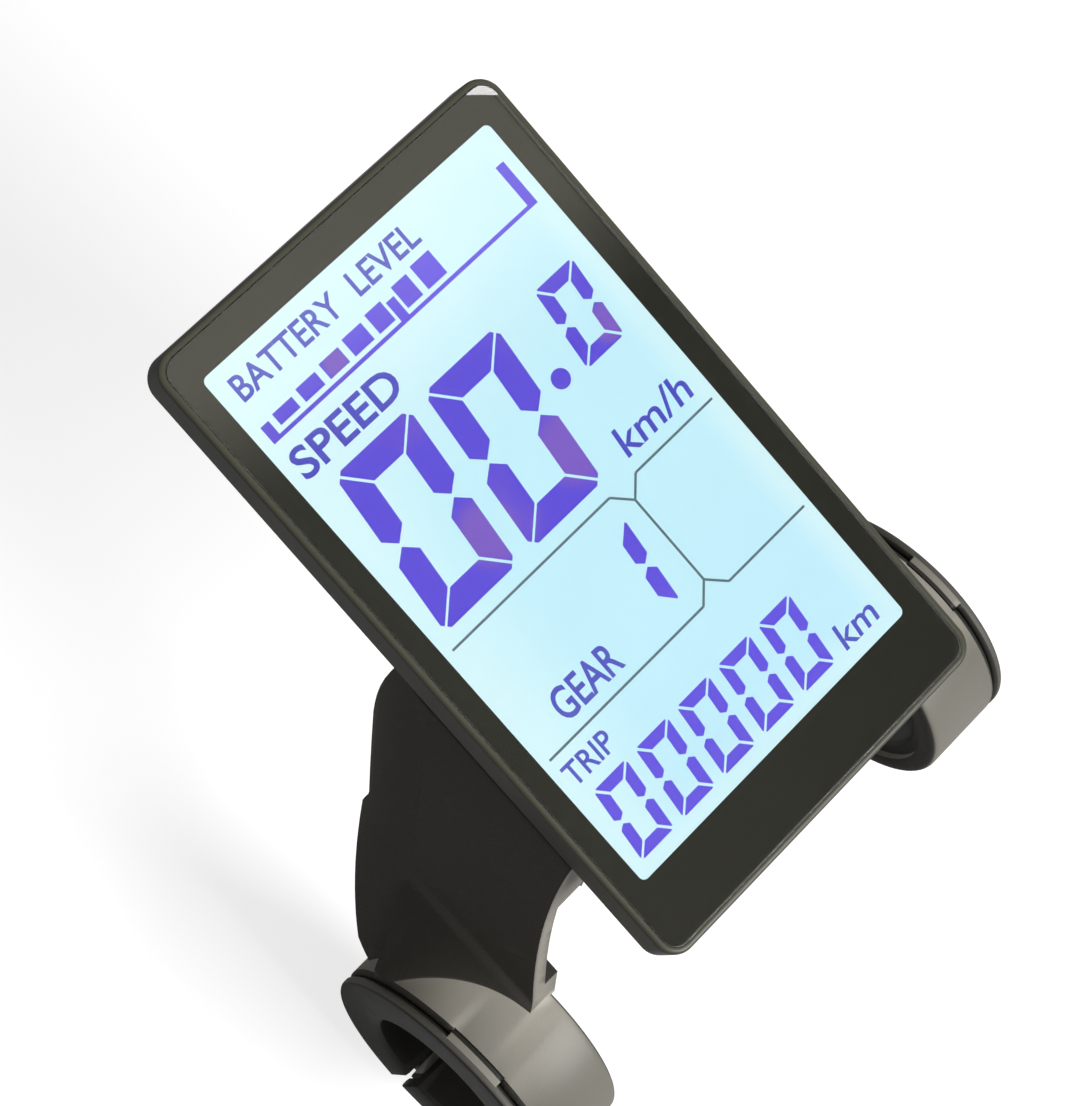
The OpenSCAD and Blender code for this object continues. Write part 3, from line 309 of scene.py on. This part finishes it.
def screen_ink_group():
    """The screen's segments: violet with purple patches, bluer at both ends, and grey divider lines."""
    tree, start, end = new_group(
        "screen segments",
        [
            ("Violet", COLOUR, (0.1, 0.05, 0.7, 1)),
            ("Purple", COLOUR, (0.2, 0.1, 0.6, 1)),
            ("Bright", COLOUR, (0.15, 0.1, 1, 1)),
            ("Divider", COLOUR, (0.2, 0.3, 0.3, 1)),
        ],
        [("Colour", COLOUR)],
    )
    place = object_place(tree)
    across, along, _ = split(tree, place)
    patches = ramp(tree, noise(tree, place, 95.0, 1.0), 0.5, 0.8, 0.0, 0.5)
    for middle_x, middle_y, reach in PURPLE_PATCHES:
        spot = add(tree, "ShaderNodeVectorMath", {0: place}, operation="DISTANCE")
        spot.inputs[1].default_value = (middle_x * MM, middle_y * MM, CELL_TOP_Z * MM)
        inside = ramp(tree, spot.outputs["Value"], reach * MM, reach * MM * 0.5)
        patches = maths(tree, "MAXIMUM", patches, inside)
    colour = mixed(tree, patches, start.outputs["Violet"], start.outputs["Purple"])
    low_down = ramp(tree, along, 60 * MM, 30 * MM, 0.0, 0.75)
    slanted = maths(tree, "ADD", along, maths(tree, "MULTIPLY", across, 0.3))
    high_up = ramp(tree, slanted, 88 * MM, 96 * MM, 0.0, 0.8)
    high_up = maths(tree, "SUBTRACT", high_up, patches, clamp=True)
    colour = mixed(tree, maths(tree, "MAXIMUM", low_down, high_up), colour, start.outputs["Bright"])
    line = divider_mask(tree, across, along)
    feed(tree, end.inputs["Colour"], mixed(tree, line, colour, start.outputs["Divider"]))
    return tree


GROUPS = {
    "moulded": moulding_group(),
    "metal": turned_metal_group(),
    "panel": lit_panel_group(),
    "ink": screen_ink_group(),
}


def use_group(tree, name, **inputs):
    """Places a shared effect in a material with its own values; underscores in names stand for spaces."""
    node = add(tree, "ShaderNodeGroup", node_tree=GROUPS[name])
    for key, value in inputs.items():
        feed(tree, node.inputs[key.replace("_", " ")], value)
    return node.outputs


def new_material(name, **sockets):
    """A material with one Principled shader, whose plain sockets are set here."""
    material = bpy.data.materials.new(name)
    material.use_nodes = True
    tree = material.node_tree
    shader = tree.nodes["Principled BSDF"]
    for key, value in sockets.items():
        shader.inputs[key.replace("_", " ")].default_value = value
    return material, tree, shader


def soft_normal(tree, radius):
    """The face's direction with its edges softened by a radius in millimetres."""
    return add(tree, "ShaderNodeBevel", {"Radius": radius * MM}, samples=3).outputs["Normal"]


def apply_effect(tree, shader, effect, bump, edge=0.0):
    """Feeds an effect's colour, roughness and height to the shader; edge softens edges, in millimetres."""
    feed(tree, shader.inputs["Base Color"], effect["Colour"])
    feed(tree, shader.inputs["Roughness"], effect["Roughness"])
    relief = add(tree, "ShaderNodeBump", {"Height": effect["Height"], "Strength": 1.0, "Distance": bump})
    if edge:
        feed(tree, relief.inputs["Normal"], soft_normal(tree, edge))
    feed(tree, shader.inputs["Normal"], relief.outputs["Normal"])


def moulded_material(name, colour, worn, roughness, grain=3000.0, depth=0.5, handling=0.5, bump=0.00002):
    """A moulded plastic or rubber finish."""
    material, tree, shader = new_material(name)
    effect = use_group(
        tree, "moulded", Colour=colour, Worn_colour=worn, Roughness=roughness,
        Grain_per_metre=grain, Grain_depth=depth, Handling=handling,
    )
    apply_effect(tree, shader, effect, bump)
    return material


def metal_material(name, colour, tarnish, roughness, lines=9000.0, bump=0.000004):
    """A plated or tinned metal finish."""
    material, tree, shader = new_material(name, Metallic=1.0)
    effect = use_group(
        tree, "metal", Colour=colour, Tarnish=tarnish, Roughness=roughness, Lines_per_metre=lines,
    )
    apply_effect(tree, shader, effect, bump)
    return material


def clear_material(name, colour, second, ior):
    """Clear glass or acrylic: polished faces, matt ground edges, and a tint that drifts over its width."""
    material, tree, shader = new_material(name, Transmission_Weight=1.0, IOR=ior)
    drift = noise(tree, object_place(tree), 40.0)
    feed(tree, shader.inputs["Base Color"], mixed(tree, drift, colour, second))
    level = maths(tree, "ABSOLUTE", facing_parts(tree)[2])
    feed(tree, shader.inputs["Roughness"], ramp(tree, level, 0.99, 0.9, 0.0, 0.45))
    return material


def thin_film_material(name, colour, veil):
    """A thin layer pressed against its neighbours: nearly nothing of it shows but a veil of its tint."""
    material, tree, shader = new_material(name, Base_Color=colour, Specular_IOR_Level=0.1, Roughness=0.4)
    clouds = noise(tree, object_place(tree), 60.0, 3.0)
    feed(tree, shader.inputs["Alpha"], ramp(tree, clouds, 0.3, 0.8, veil * 0.6, veil))
    return material


def lit_material():
    """The evenly lit layer behind the segments; its light comes from the shader's emission."""
    material, tree, shader = new_material(
        "lit screen", Base_Color=srgb(12, 14, 14), Roughness=0.5, Emission_Strength=1.16,
    )
    panel = use_group(
        tree, "panel",
        Upper_colour=srgb(219, 246, 254), Middle_colour=srgb(197, 239, 254),
        Lower_colour=srgb(196, 237, 255), Edge_colour=srgb(224, 250, 255),
    )
    feed(tree, shader.inputs["Emission Color"], panel["Colour"])
    return material


def ink_material(name, violet, purple, bright, divider):
    """Segments and words between the screen's two glasses, which tint the light behind them."""
    material, tree, shader = new_material(
        name, Base_Color=srgb(10, 8, 20), Roughness=0.5, Emission_Strength=1.0,
    )
    ink = use_group(tree, "ink", Violet=violet, Purple=purple, Bright=bright, Divider=divider)
    feed(tree, shader.inputs["Emission Color"], ink["Colour"])
    return material


def turned_parts(tree):
    """Where a point lies round the rings' axis: its coordinates, its radius, and how round its face is."""
    across, along, up = split(tree, object_place(tree))
    square = maths(tree, "ADD", maths(tree, "MULTIPLY", along, along), maths(tree, "MULTIPLY", up, up))
    aside = facing_parts(tree)[0]
    round_face = ramp(tree, maths(tree, "ABSOLUTE", aside), 0.8, 0.5)
    return maths(tree, "ABSOLUTE", across), along, up, maths(tree, "SQRT", square), round_face


def arm_material():
    """Charcoal plastic with eroded grain; the turned ring and the front ridge are smoother, and a painted
    sheen makes them paler, lightest over the ring's top.
    """
    material, tree, shader = new_material("arm plastic", Specular_IOR_Level=0.25)
    aside, along, _, radius, round_face = turned_parts(tree)
    # Painted sheen: the ring's round face and the faces turned to the front get paler colours; the ring's end
    # faces, its outer edge and its far side get less or none of it
    near_ring = ramp(tree, radius, (RING_R + 0.35) * MM, (RING_R + 0.05) * MM)
    ring = maths(tree, "MULTIPLY", near_ring, round_face)
    edge_x = RING_OUT - RING_EDGE
    ring = maths(tree, "MULTIPLY", ring, ramp(tree, aside, edge_x * MM, (edge_x - 0.1) * MM))
    ring = maths(tree, "MULTIPLY", ring, ramp(tree, along, 11 * MM, 20 * MM, 1.0, 0.45))
    ring = maths(tree, "MAXIMUM", ring, ramp(tree, facing_parts(tree)[1], -0.55, -0.8, 0.0, 0.6))
    blade = use_group(
        tree, "moulded", Colour=srgb(35, 34, 32), Worn_colour=srgb(56, 54, 49), Roughness=0.7,
        Grain_per_metre=2600.0, Grain_depth=0.8, Handling=0.5,
    )
    # Painted highlight: the painted sheen turns lighter towards the ring's top
    painted_top_highlight = ramp(tree, along, -10 * MM, 3 * MM)
    painted_sheen_band = use_group(
        tree, "moulded", Colour=mixed(tree, painted_top_highlight, srgb(101, 99, 91), srgb(152, 148, 139)),
        Worn_colour=mixed(tree, painted_top_highlight, srgb(121, 118, 109), srgb(176, 171, 160)), Roughness=0.42,
        Grain_per_metre=4200.0, Grain_depth=0.35, Handling=0.4,
    )
    rough = mixed(tree, ring, blade["Roughness"], painted_sheen_band["Roughness"], "FLOAT")
    height = maths(tree, "MULTIPLY", blade["Height"], ramp(tree, ring, 0.0, 1.0, 1.0, 0.25))
    effect = {
        "Colour": mixed(tree, ring, blade["Colour"], painted_sheen_band["Colour"]), "Roughness": rough, "Height": height,
    }
    apply_effect(tree, shader, effect, 0.00003, 1.2)
    return material


def insert_material():
    """Black rubber, with a painted highlight that makes the flange's rounded lip paler and the key outside
    the ring palest.
    """
    material, tree, shader = new_material("insert rubber", Specular_IOR_Level=0.3)
    aside, along, up, radius, round_face = turned_parts(tree)
    # Painted highlight: the flange's rounded lip is paler, most of all on the key beyond the ring
    painted_rim_light = maths(tree, "MULTIPLY", ramp(tree, radius, 18.8 * MM, 20.2 * MM), round_face)
    angle = maths(tree, "ARCTAN2", along, up)
    middle = math.radians((KEY_FROM + KEY_TO) / 2)
    half = math.radians((KEY_TO - KEY_FROM) / 2)
    from_key = maths(tree, "ABSOLUTE", maths(tree, "SUBTRACT", angle, middle))
    key = ramp(tree, from_key, half * 1.03, half * 0.99)
    pale_end = RING_OUT + KEY_REACH
    key = maths(tree, "MULTIPLY", key, ramp(tree, aside, (pale_end + 0.1) * MM, pale_end * MM))
    tone = maths(tree, "MULTIPLY", painted_rim_light, ramp(tree, key, 0.0, 1.0, 0.3, 1.0))
    tone = maths(tree, "MULTIPLY", tone, ramp(tree, aside, (RING_OUT - 0.1) * MM, RING_OUT * MM))
    rubber = use_group(
        tree, "moulded", Colour=srgb(16, 16, 15), Worn_colour=srgb(28, 27, 25), Roughness=0.55,
        Grain_per_metre=3400.0, Grain_depth=0.5, Handling=0.7,
    )
    # The pale colour is the painted highlight's colour
    effect = {
        "Colour": mixed(tree, tone, rubber["Colour"], srgb(132, 129, 120)),
        "Roughness": rubber["Roughness"], "Height": rubber["Height"],
    }
    apply_effect(tree, shader, effect, 0.00002, 0.2)
    return material


def frame_material():
    """Dark fine-grained plastic; faces turned up towards the rider are painted paler as painted light, and
    the walls darker as painted shade.
    """
    material, tree, shader = new_material("frame plastic", Specular_IOR_Level=0.42)
    # Painted light and shade: faces turned up get the paler colours, the walls the darker ones
    painted_rim_light = ramp(tree, facing_parts(tree)[2], 0.3, 0.9)
    effect = use_group(
        tree, "moulded", Colour=mixed(tree, painted_rim_light, srgb(27, 27, 22), srgb(54, 54, 43)),
        Worn_colour=mixed(tree, painted_rim_light, srgb(43, 42, 35), srgb(78, 77, 63)), Roughness=0.4,
        Grain_per_metre=4200.0, Grain_depth=0.35, Handling=0.6,
    )
    apply_effect(tree, shader, effect, 0.00001)
    return material


def board_material():
    """Solder mask over copper: paler tracks run in steps under the green lacquer."""
    material, tree, shader = new_material("circuit board", Coat_Weight=0.4, Coat_Roughness=0.15)
    place = object_place(tree)
    tracks = add(tree, "ShaderNodeTexBrick", {
        "Vector": place, "Scale": 220.0, "Mortar Size": 0.06,
        "Color1": srgb(12, 70, 38), "Color2": srgb(16, 84, 46), "Mortar": srgb(40, 120, 62),
    })
    clouds = noise(tree, place, 400.0, 3.0)
    shade = maths(tree, "MULTIPLY", clouds, 0.2)
    feed(tree, shader.inputs["Base Color"], mixed(tree, shade, tracks.outputs["Color"], srgb(10, 52, 30)))
    feed(tree, shader.inputs["Roughness"], ramp(tree, clouds, 0.2, 0.8, 0.25, 0.45))
    return material


def plain_noise_material(name, colour, second, roughness, scale=300.0, **sockets):
    """An even finish: two close tones in slow patches, and roughness that follows them."""
    material, tree, shader = new_material(name, **sockets)
    clouds = noise(tree, object_place(tree), scale, 4.0)
    feed(tree, shader.inputs["Base Color"], mixed(tree, clouds, colour, second))
    feed(tree, shader.inputs["Roughness"], ramp(tree, clouds, 0.2, 0.8, roughness - 0.08, roughness + 0.08))
    return material


MATERIALS = {
    "cover_glass": clear_material("cover glass", srgb(246, 249, 247), srgb(241, 247, 245), 1.5),
    "border_ink": plain_noise_material(
        "border ink", srgb(31, 31, 27), srgb(36, 35, 31), 0.4, 60.0, Specular_IOR_Level=0.1,
    ),
    "tape": moulded_material(
        "foam tape", srgb(22, 22, 22), srgb(34, 34, 34), 0.85, 5000.0, 1.0, 0.1, 0.00004,
    ),
    "frame_plastic": frame_material(),
    "film": thin_film_material("polarizing film", srgb(150, 160, 160), 0.02),
    "screen_glass": thin_film_material("screen glass", srgb(190, 205, 210), 0.02),
    "screen_ink": ink_material(
        "screen segments", srgb(88, 60, 232), srgb(128, 84, 210), srgb(102, 76, 246), srgb(88, 112, 126),
    ),
    "screen_label": ink_material(
        "screen words", srgb(66, 64, 206), srgb(98, 86, 200), srgb(84, 88, 208), srgb(84, 88, 208),
    ),
    "screen_back": lit_material(),
    "white_plastic": plain_noise_material("white plastic", srgb(236, 236, 232), srgb(222, 222, 216), 0.5),
    "light_guide": clear_material("light guide", srgb(248, 253, 251), srgb(242, 250, 248), 1.49),
    "reflector": metal_material(
        "reflector film", srgb(232, 234, 236), srgb(214, 216, 220), 0.12, 4000.0, 0.000001,
    ),
    "lamp": plain_noise_material("lamp package", srgb(246, 226, 140), srgb(238, 206, 104), 0.35, 900.0),
    "ribbon": plain_noise_material(
        "ribbon", srgb(178, 104, 40), srgb(150, 82, 28), 0.3, 500.0, Coat_Weight=0.3,
    ),
    "board": board_material(),
    "chip": moulded_material(
        "chip package", srgb(30, 30, 32), srgb(46, 46, 48), 0.6, 6000.0, 0.7, 0.1, 0.00001,
    ),
    "tin": metal_material("tinned can", srgb(198, 198, 196), srgb(160, 158, 152), 0.3),
    "socket": plain_noise_material("socket plastic", srgb(224, 218, 196), srgb(206, 198, 172), 0.5),
    "shell_plastic": moulded_material(
        "shell plastic", srgb(34, 34, 33), srgb(50, 50, 48), 0.6, 2800.0, 0.8, 0.5, 0.00003,
    ),
    "arm_plastic": arm_material(),
    "insert_rubber": insert_material(),
    "seal_rubber": moulded_material("seal rubber", srgb(26, 26, 26), srgb(42, 42, 41), 0.7, 3400.0, 0.6, 0.3),
    "steel": metal_material("plated steel", srgb(168, 168, 164), srgb(122, 116, 104), 0.26),
}


# Pieces


def finish_piece(obj, slot, body, *replaced):
    """Gives a piece its material and slot, lets it ride on its body and hides the solids it stands for."""
    obj.data.materials.clear()
    obj.data.materials.append(MATERIALS[slot])
    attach(obj, body)
    if replaced:
        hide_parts(*replaced)


def link_mesh(name, mesh):
    """Puts a mesh in the scene as an object at the origin."""
    obj = bpy.data.objects.new(name, mesh)
    bpy.context.scene.collection.objects.link(obj)
    return obj


def grid_mesh(name, points):
    """A mesh from rows of points: each row closes on itself, and the two end rows get a face each."""
    rows, columns = points.shape[:2]
    index = np.arange(rows * columns).reshape(rows, columns)
    low, high = index[:-1], index[1:]
    quads = np.stack([low, np.roll(low, -1, 1), np.roll(high, -1, 1), high], -1).reshape(-1, 4)
    faces = quads.tolist() + [index[0, ::-1].tolist(), index[-1].tolist()]
    mesh = bpy.data.meshes.new(name)
    mesh.from_pydata(points.reshape(-1, 3).tolist(), [], faces)
    mesh.update()
    return mesh


def close_up(mesh, degrees, turn_out=True):
    """Merges doubles, can turn faces outwards, smooths faces of up to four corners, marks sharp edges."""
    shape = bmesh.new()
    shape.from_mesh(mesh)
    bmesh.ops.remove_doubles(shape, verts=shape.verts, dist=2e-7)
    if turn_out:
        bmesh.ops.recalc_face_normals(shape, faces=shape.faces)
    smooth = [len(face.verts) <= 4 for face in shape.faces]
    shape.to_mesh(mesh)
    shape.free()
    mesh.set_sharp_from_angle(angle=math.radians(degrees))
    mesh.polygons.foreach_set("use_smooth", smooth)


def rounded_outline(width, height, radius, mid_y, steps=10):
    """Points and outward directions round a rectangle with round corners, four quarter circles in turn."""
    angle = np.concatenate([np.linspace(0, math.pi / 2, steps) + k * math.pi / 2 for k in range(4)])
    away = np.stack([np.cos(angle), np.sin(angle)], 1)
    corner = np.repeat(np.array([[1, 1], [-1, 1], [-1, -1], [1, -1]]), steps, 0)
    centre = corner * np.array([width / 2 - radius, height / 2 - radius]) + np.array([0, mid_y])
    return centre + away * radius, away


def polished_pane(name, width, height, radius, mid_y, low_z, high_z, bevel):
    """A pane: its outline is carried up the wall, drawn in by a quarter circle above and a chamfer below."""
    outline, away = rounded_outline(width, height, radius, mid_y)
    turn = np.linspace(0, math.pi / 2, 6)
    inset = np.concatenate([[bevel, bevel / 2, 0.0], bevel * (1 - np.cos(turn))])
    level = np.concatenate([[low_z, low_z, low_z + bevel / 2], high_z - bevel + bevel * np.sin(turn)])
    plan = outline[None] - inset[:, None, None] * away[None]
    points = np.concatenate([plan, np.broadcast_to(level[:, None, None], (*plan.shape[:2], 1))], 2)
    mesh = grid_mesh(name, points * MM)
    close_up(mesh, 40)
    return link_mesh(name, mesh)


def softened_copy(node, width):
    """A copy of a CAD node with its doubles merged, and its sharp edges rounded by a small bevel when a width
    is given.
    """
    mesh = nodes[node].data.copy()
    mesh.name = node + "_moulding"
    close_up(mesh, BEVEL_DEGREES, turn_out=False)
    obj = link_mesh(node + "_moulding", mesh)
    if not width:
        return obj
    bevel = obj.modifiers.new("soft edges", "BEVEL")
    bevel.width = width * MM
    bevel.segments = 3
    bevel.limit_method = "ANGLE"
    bevel.angle_limit = math.radians(BEVEL_DEGREES)
    bevel.use_clamp_overlap = True
    bevel.harden_normals = True
    bevel.miter_outer = "MITER_ARC"
    return obj


def hexagon_radius(angle, across_corners):
    """Distance from the middle of a hexagon to its edge in each direction."""
    return across_corners / 2 * math.cos(math.pi / 6) / np.cos(np.mod(angle, math.pi / 3) - math.pi / 6)


def cap_screw(name, side):
    """A socket head cap screw as one surface of turn and length.

    The radius follows the socket's hexagon, the chamfered head with its knurl, and a shank whose
    thread is a wave of the length less the share of a pitch that the turn has gone.
    """
    turns = 96
    angle = np.linspace(0, 2 * math.pi, turns, endpoint=False)
    ones = np.ones(turns)
    head_r, head_t, shank_r = SCREW_HEAD_D / 2, SCREW_HEAD_T, SCREW_D / 2
    drive = hexagon_radius(angle, SCREW_DRIVE_D)
    knurled = head_r - 0.09 * np.abs(np.sin(angle * 24))
    rows = [
        (0.02 * ones, -head_t + SCREW_DRIVE_DEPTH + 0.25),
        (drive * 0.96, -head_t + SCREW_DRIVE_DEPTH),
        (drive, -head_t + SCREW_DRIVE_DEPTH - 0.12),
        (drive, -head_t + 0.18),
        (drive + 0.16, -head_t),
        ((head_r - 0.5) * ones, -head_t),
        ((head_r - 0.22) * ones, -head_t + 0.08),
        ((head_r - 0.05) * ones, -head_t + 0.34),
        (knurled, -head_t + 0.5),
        (knurled, -0.5),
        ((head_r - 0.05) * ones, -0.36),
        ((head_r - 0.1) * ones, 0.0),
        ((shank_r + 0.15) * ones, 0.0),
        ((shank_r - 0.02) * ones, 0.15),
    ]
    steps = int((SCREW_LENGTH - SCREW_PLAIN - SCREW_TIP) / SCREW_PITCH * 8)
    length = np.linspace(SCREW_PLAIN, SCREW_LENGTH - SCREW_TIP, steps)
    wave = np.abs(np.mod(length[:, None] / SCREW_PITCH - angle[None] / (2 * math.pi), 1.0) * 2 - 1)
    fade = np.clip((length - SCREW_PLAIN) / SCREW_PITCH, 0, 1)[:, None]
    thread = shank_r - 0.01 - THREAD_DEPTH * fade * np.clip(1.15 - wave * 1.3, 0, 1)
    tip = [(shank_r - 0.62) * ones, 0.02 * ones]
    radius = np.concatenate([np.array([r for r, _ in rows]), thread, tip])
    level = np.concatenate([[z for _, z in rows], length, [SCREW_LENGTH, SCREW_LENGTH]])
    along = SCREW_SEAT_Y + np.broadcast_to(level[:, None], radius.shape)
    across = side * LUG_X + radius * np.sin(angle)
    points = np.stack([across, along, LUG_Z + radius * np.cos(angle)], -1)
    mesh = grid_mesh(name, points * MM)
    close_up(mesh, 35)
    return link_mesh(name, mesh)


def thinned_copy(node, low_z, high_z):
    """A copy of a flat CAD node, its lower and upper levels moved to two given ones in millimetres."""
    mesh = nodes[node].data.copy()
    mesh.name = node + "_film"
    place = np.zeros(len(mesh.vertices) * 3)
    mesh.vertices.foreach_get("co", place)
    level = place[2::3]
    middle = (level.min() + level.max()) / 2
    place[2::3] = np.where(level > middle, high_z * MM, low_z * MM)
    mesh.vertices.foreach_set("co", place)
    mesh.update()
    return link_mesh(node + "_film", mesh)


def screen_words(name, words, low_x, high_x, low_y, high_y, weight, slant):
    """Words set flat between the screen's two glasses; they fill a box given in millimetres."""
    curve = bpy.data.curves.new(name, "FONT")
    curve.body = words
    curve.offset = weight
    curve.shear = slant
    curve.extrude = 0.5
    curve.resolution_u = 4
    draft = bpy.data.objects.new(name + "_draft", curve)
    bpy.context.scene.collection.objects.link(draft)
    bpy.context.view_layer.update()
    mesh = bpy.data.meshes.new_from_object(draft.evaluated_get(bpy.context.evaluated_depsgraph_get()))
    bpy.data.objects.remove(draft)
    mesh.name = name
    place = np.zeros(len(mesh.vertices) * 3)
    mesh.vertices.foreach_get("co", place)
    place = place.reshape(-1, 3)
    low, high = place.min(0), place.max(0)
    box_low = np.array([low_x, low_y, CELL_LOW_Z + LAYER_GAP])
    box_high = np.array([high_x, high_y, CELL_TOP_Z - LAYER_GAP])
    place = box_low + (place - low) / (high - low) * (box_high - box_low)
    mesh.vertices.foreach_set("co", (place * MM).ravel())
    mesh.update()
    return link_mesh(name, mesh)


pane = polished_pane(
    "cover_pane", GLASS_W, GLASS_H, GLASS_CORNER_R, HEAD_MID_Y,
    FACE_Z - GLASS_T + LAYER_GAP, FACE_Z, PANE_EDGE,
)
finish_piece(pane, "cover_glass", "display", "cover_glass")

EDGE_WIDTHS = {
    "front_frame": 0.12, "rear_case": 0.25, "left_arm": 0, "right_arm": 0, "left_insert": 0,
    "right_insert": 0, "cable_gland": 0.12, "arm_screws": 0.1, "case_screws": 0.08,
}
for node, width in EDGE_WIDTHS.items():
    finish_piece(softened_copy(node, width), slots[node], "display", node)

for side, label in ((-1, "left"), (1, "right")):
    screw = cap_screw(label + "_cap_screw", side)
    finish_piece(screw, "steel", label + "_screw", label + "_clamp_screw")

segments = thinned_copy("lcd_segments", CELL_LOW_Z + LAYER_GAP, CELL_TOP_Z - LAYER_GAP)
finish_piece(segments, "screen_ink", "display", "lcd_segments")

# Name, words, box from left to right and from low to high, weight of the strokes, slant
WORDS = (
    ("words_charge_first", "BATTERY", (-24.9, -5.6, 98.9, 102.7), 0.012, 0.0),
    ("words_charge_second", "LEVEL", (-2.6, 9.6, 98.9, 102.7), 0.012, 0.0),
    ("words_speed", "SPEED", (-25.6, -6.5, 85.4, 90.1), 0.018, 0.0),
    ("words_speed_unit", "km/h", (11.7, 25.6, 57.4, 61.9), 0.008, 0.1),
    ("words_assist", "GEAR", (-20.6, -8.6, 37.0, 41.9), 0.014, 0.0),
    ("words_distance", "TRIP", (-25.9, -17.3, 29.9, 33.3), 0.01, 0.0),
    ("words_distance_unit", "km", (17.7, 25.1, 16.0, 19.9), 0.008, 0.1),
)
for name, words, box, weight, slant in WORDS:
    finish_piece(screen_words(name, words, *box, weight, slant), "screen_label", "display")

# Solids that no finished piece stands for show as they are; the rear glass is the layer that looks lit
for name, slot in slots.items():
    node = nodes[name]
    if not node.hide_render:
        node.data.materials.clear()
        node.data.materials.append(MATERIALS["screen_back" if name == "lcd_rear_glass" else slot])


# Studio

FLOOR_Z = -0.0306
FLOOR_REACH = 6.0
FLOOR_GLOW = 0.72
AMBIENT = 0.35
ROOM_TINT = (1.0, 0.95, 0.81, 1)


def add_floor():
    """A wide pale floor under the part, which the camera alone sees near white where no shadow falls."""
    reach = FLOOR_REACH
    plan = ((-reach, -reach), (reach, -reach), (reach, reach), (-reach, reach))
    mesh = bpy.data.meshes.new("floor")
    mesh.from_pydata([(x, y, FLOOR_Z) for x, y in plan], [], [(0, 1, 2, 3)])
    floor = link_mesh("floor", mesh)
    material, tree, shader = new_material("pale floor", Roughness=0.9, Specular_IOR_Level=0.1)
    clouds = noise(tree, object_place(tree), 3.0)
    feed(tree, shader.inputs["Base Color"], mixed(tree, clouds, srgb(166, 166, 166), srgb(170, 170, 170)))
    shader.inputs["Emission Color"].default_value = (1, 1, 1, 1)
    seen = add(tree, "ShaderNodeLightPath").outputs["Is Camera Ray"]
    feed(tree, shader.inputs["Emission Strength"], maths(tree, "MULTIPLY", seen, FLOOR_GLOW))
    mesh.materials.append(material)


def add_lamp(name, place, target, size, power, roll=0.0):
    """A square soft lamp that looks at a point, rolled by some degrees; the camera doesn't see it."""
    data = bpy.data.lights.new(name, "AREA")
    data.shape = "SQUARE"
    data.size = size
    data.energy = power
    lamp = bpy.data.objects.new(name, data)
    lamp.location = place
    lamp.rotation_mode = "QUATERNION"
    look = (Vector(target) - Vector(place)).to_track_quat("-Z", "Y")
    lamp.rotation_quaternion = look @ Quaternion((0, 0, 1), math.radians(roll))
    lamp.visible_camera = False
    lamp.visible_transmission = False
    bpy.context.scene.collection.objects.link(lamp)


def add_world():
    """Even grey light all round, white to the camera; mirrors see a warm room, bright above the far end."""
    world = bpy.data.worlds.new("studio")
    bpy.context.scene.world = world
    world.use_nodes = True
    tree = world.node_tree
    backdrop = tree.nodes["Background"]
    path = add(tree, "ShaderNodeLightPath").outputs
    across, along, _ = split(tree, add(tree, "ShaderNodeTexCoord").outputs["Generated"])
    slanted = maths(tree, "ADD", along, maths(tree, "MULTIPLY", across, 0.2))
    sky = ramp(tree, slanted, -0.035, 0.015, 0.24, 1.1)
    sky = maths(tree, "ADD", sky, ramp(tree, across, 0.40, 0.28, 0.0, 0.12))
    mirrored = maths(tree, "MAXIMUM", path["Is Glossy Ray"], path["Is Transmission Ray"])
    mirrored = maths(tree, "SUBTRACT", mirrored, path["Is Camera Ray"], clamp=True)
    level = mixed(tree, path["Is Camera Ray"], AMBIENT, 1.0, "FLOAT")
    feed(tree, backdrop.inputs["Strength"], mixed(tree, mirrored, level, sky, "FLOAT"))
    feed(tree, backdrop.inputs["Color"], mixed(tree, mirrored, (1, 1, 1, 1), ROOM_TINT))


add_floor()
add_world()
add_lamp("key", (0.2, -0.9, 0.95), (0.0, 0.03, 0.0), 0.7, 22.0)
add_lamp("corner glint", (0.3078, 0.0915, 0.66), (0.3078, 0.0915, 0.0), 0.0283, 0.041, -38.9)

bpy.context.scene.view_settings.view_transform = "Standard"
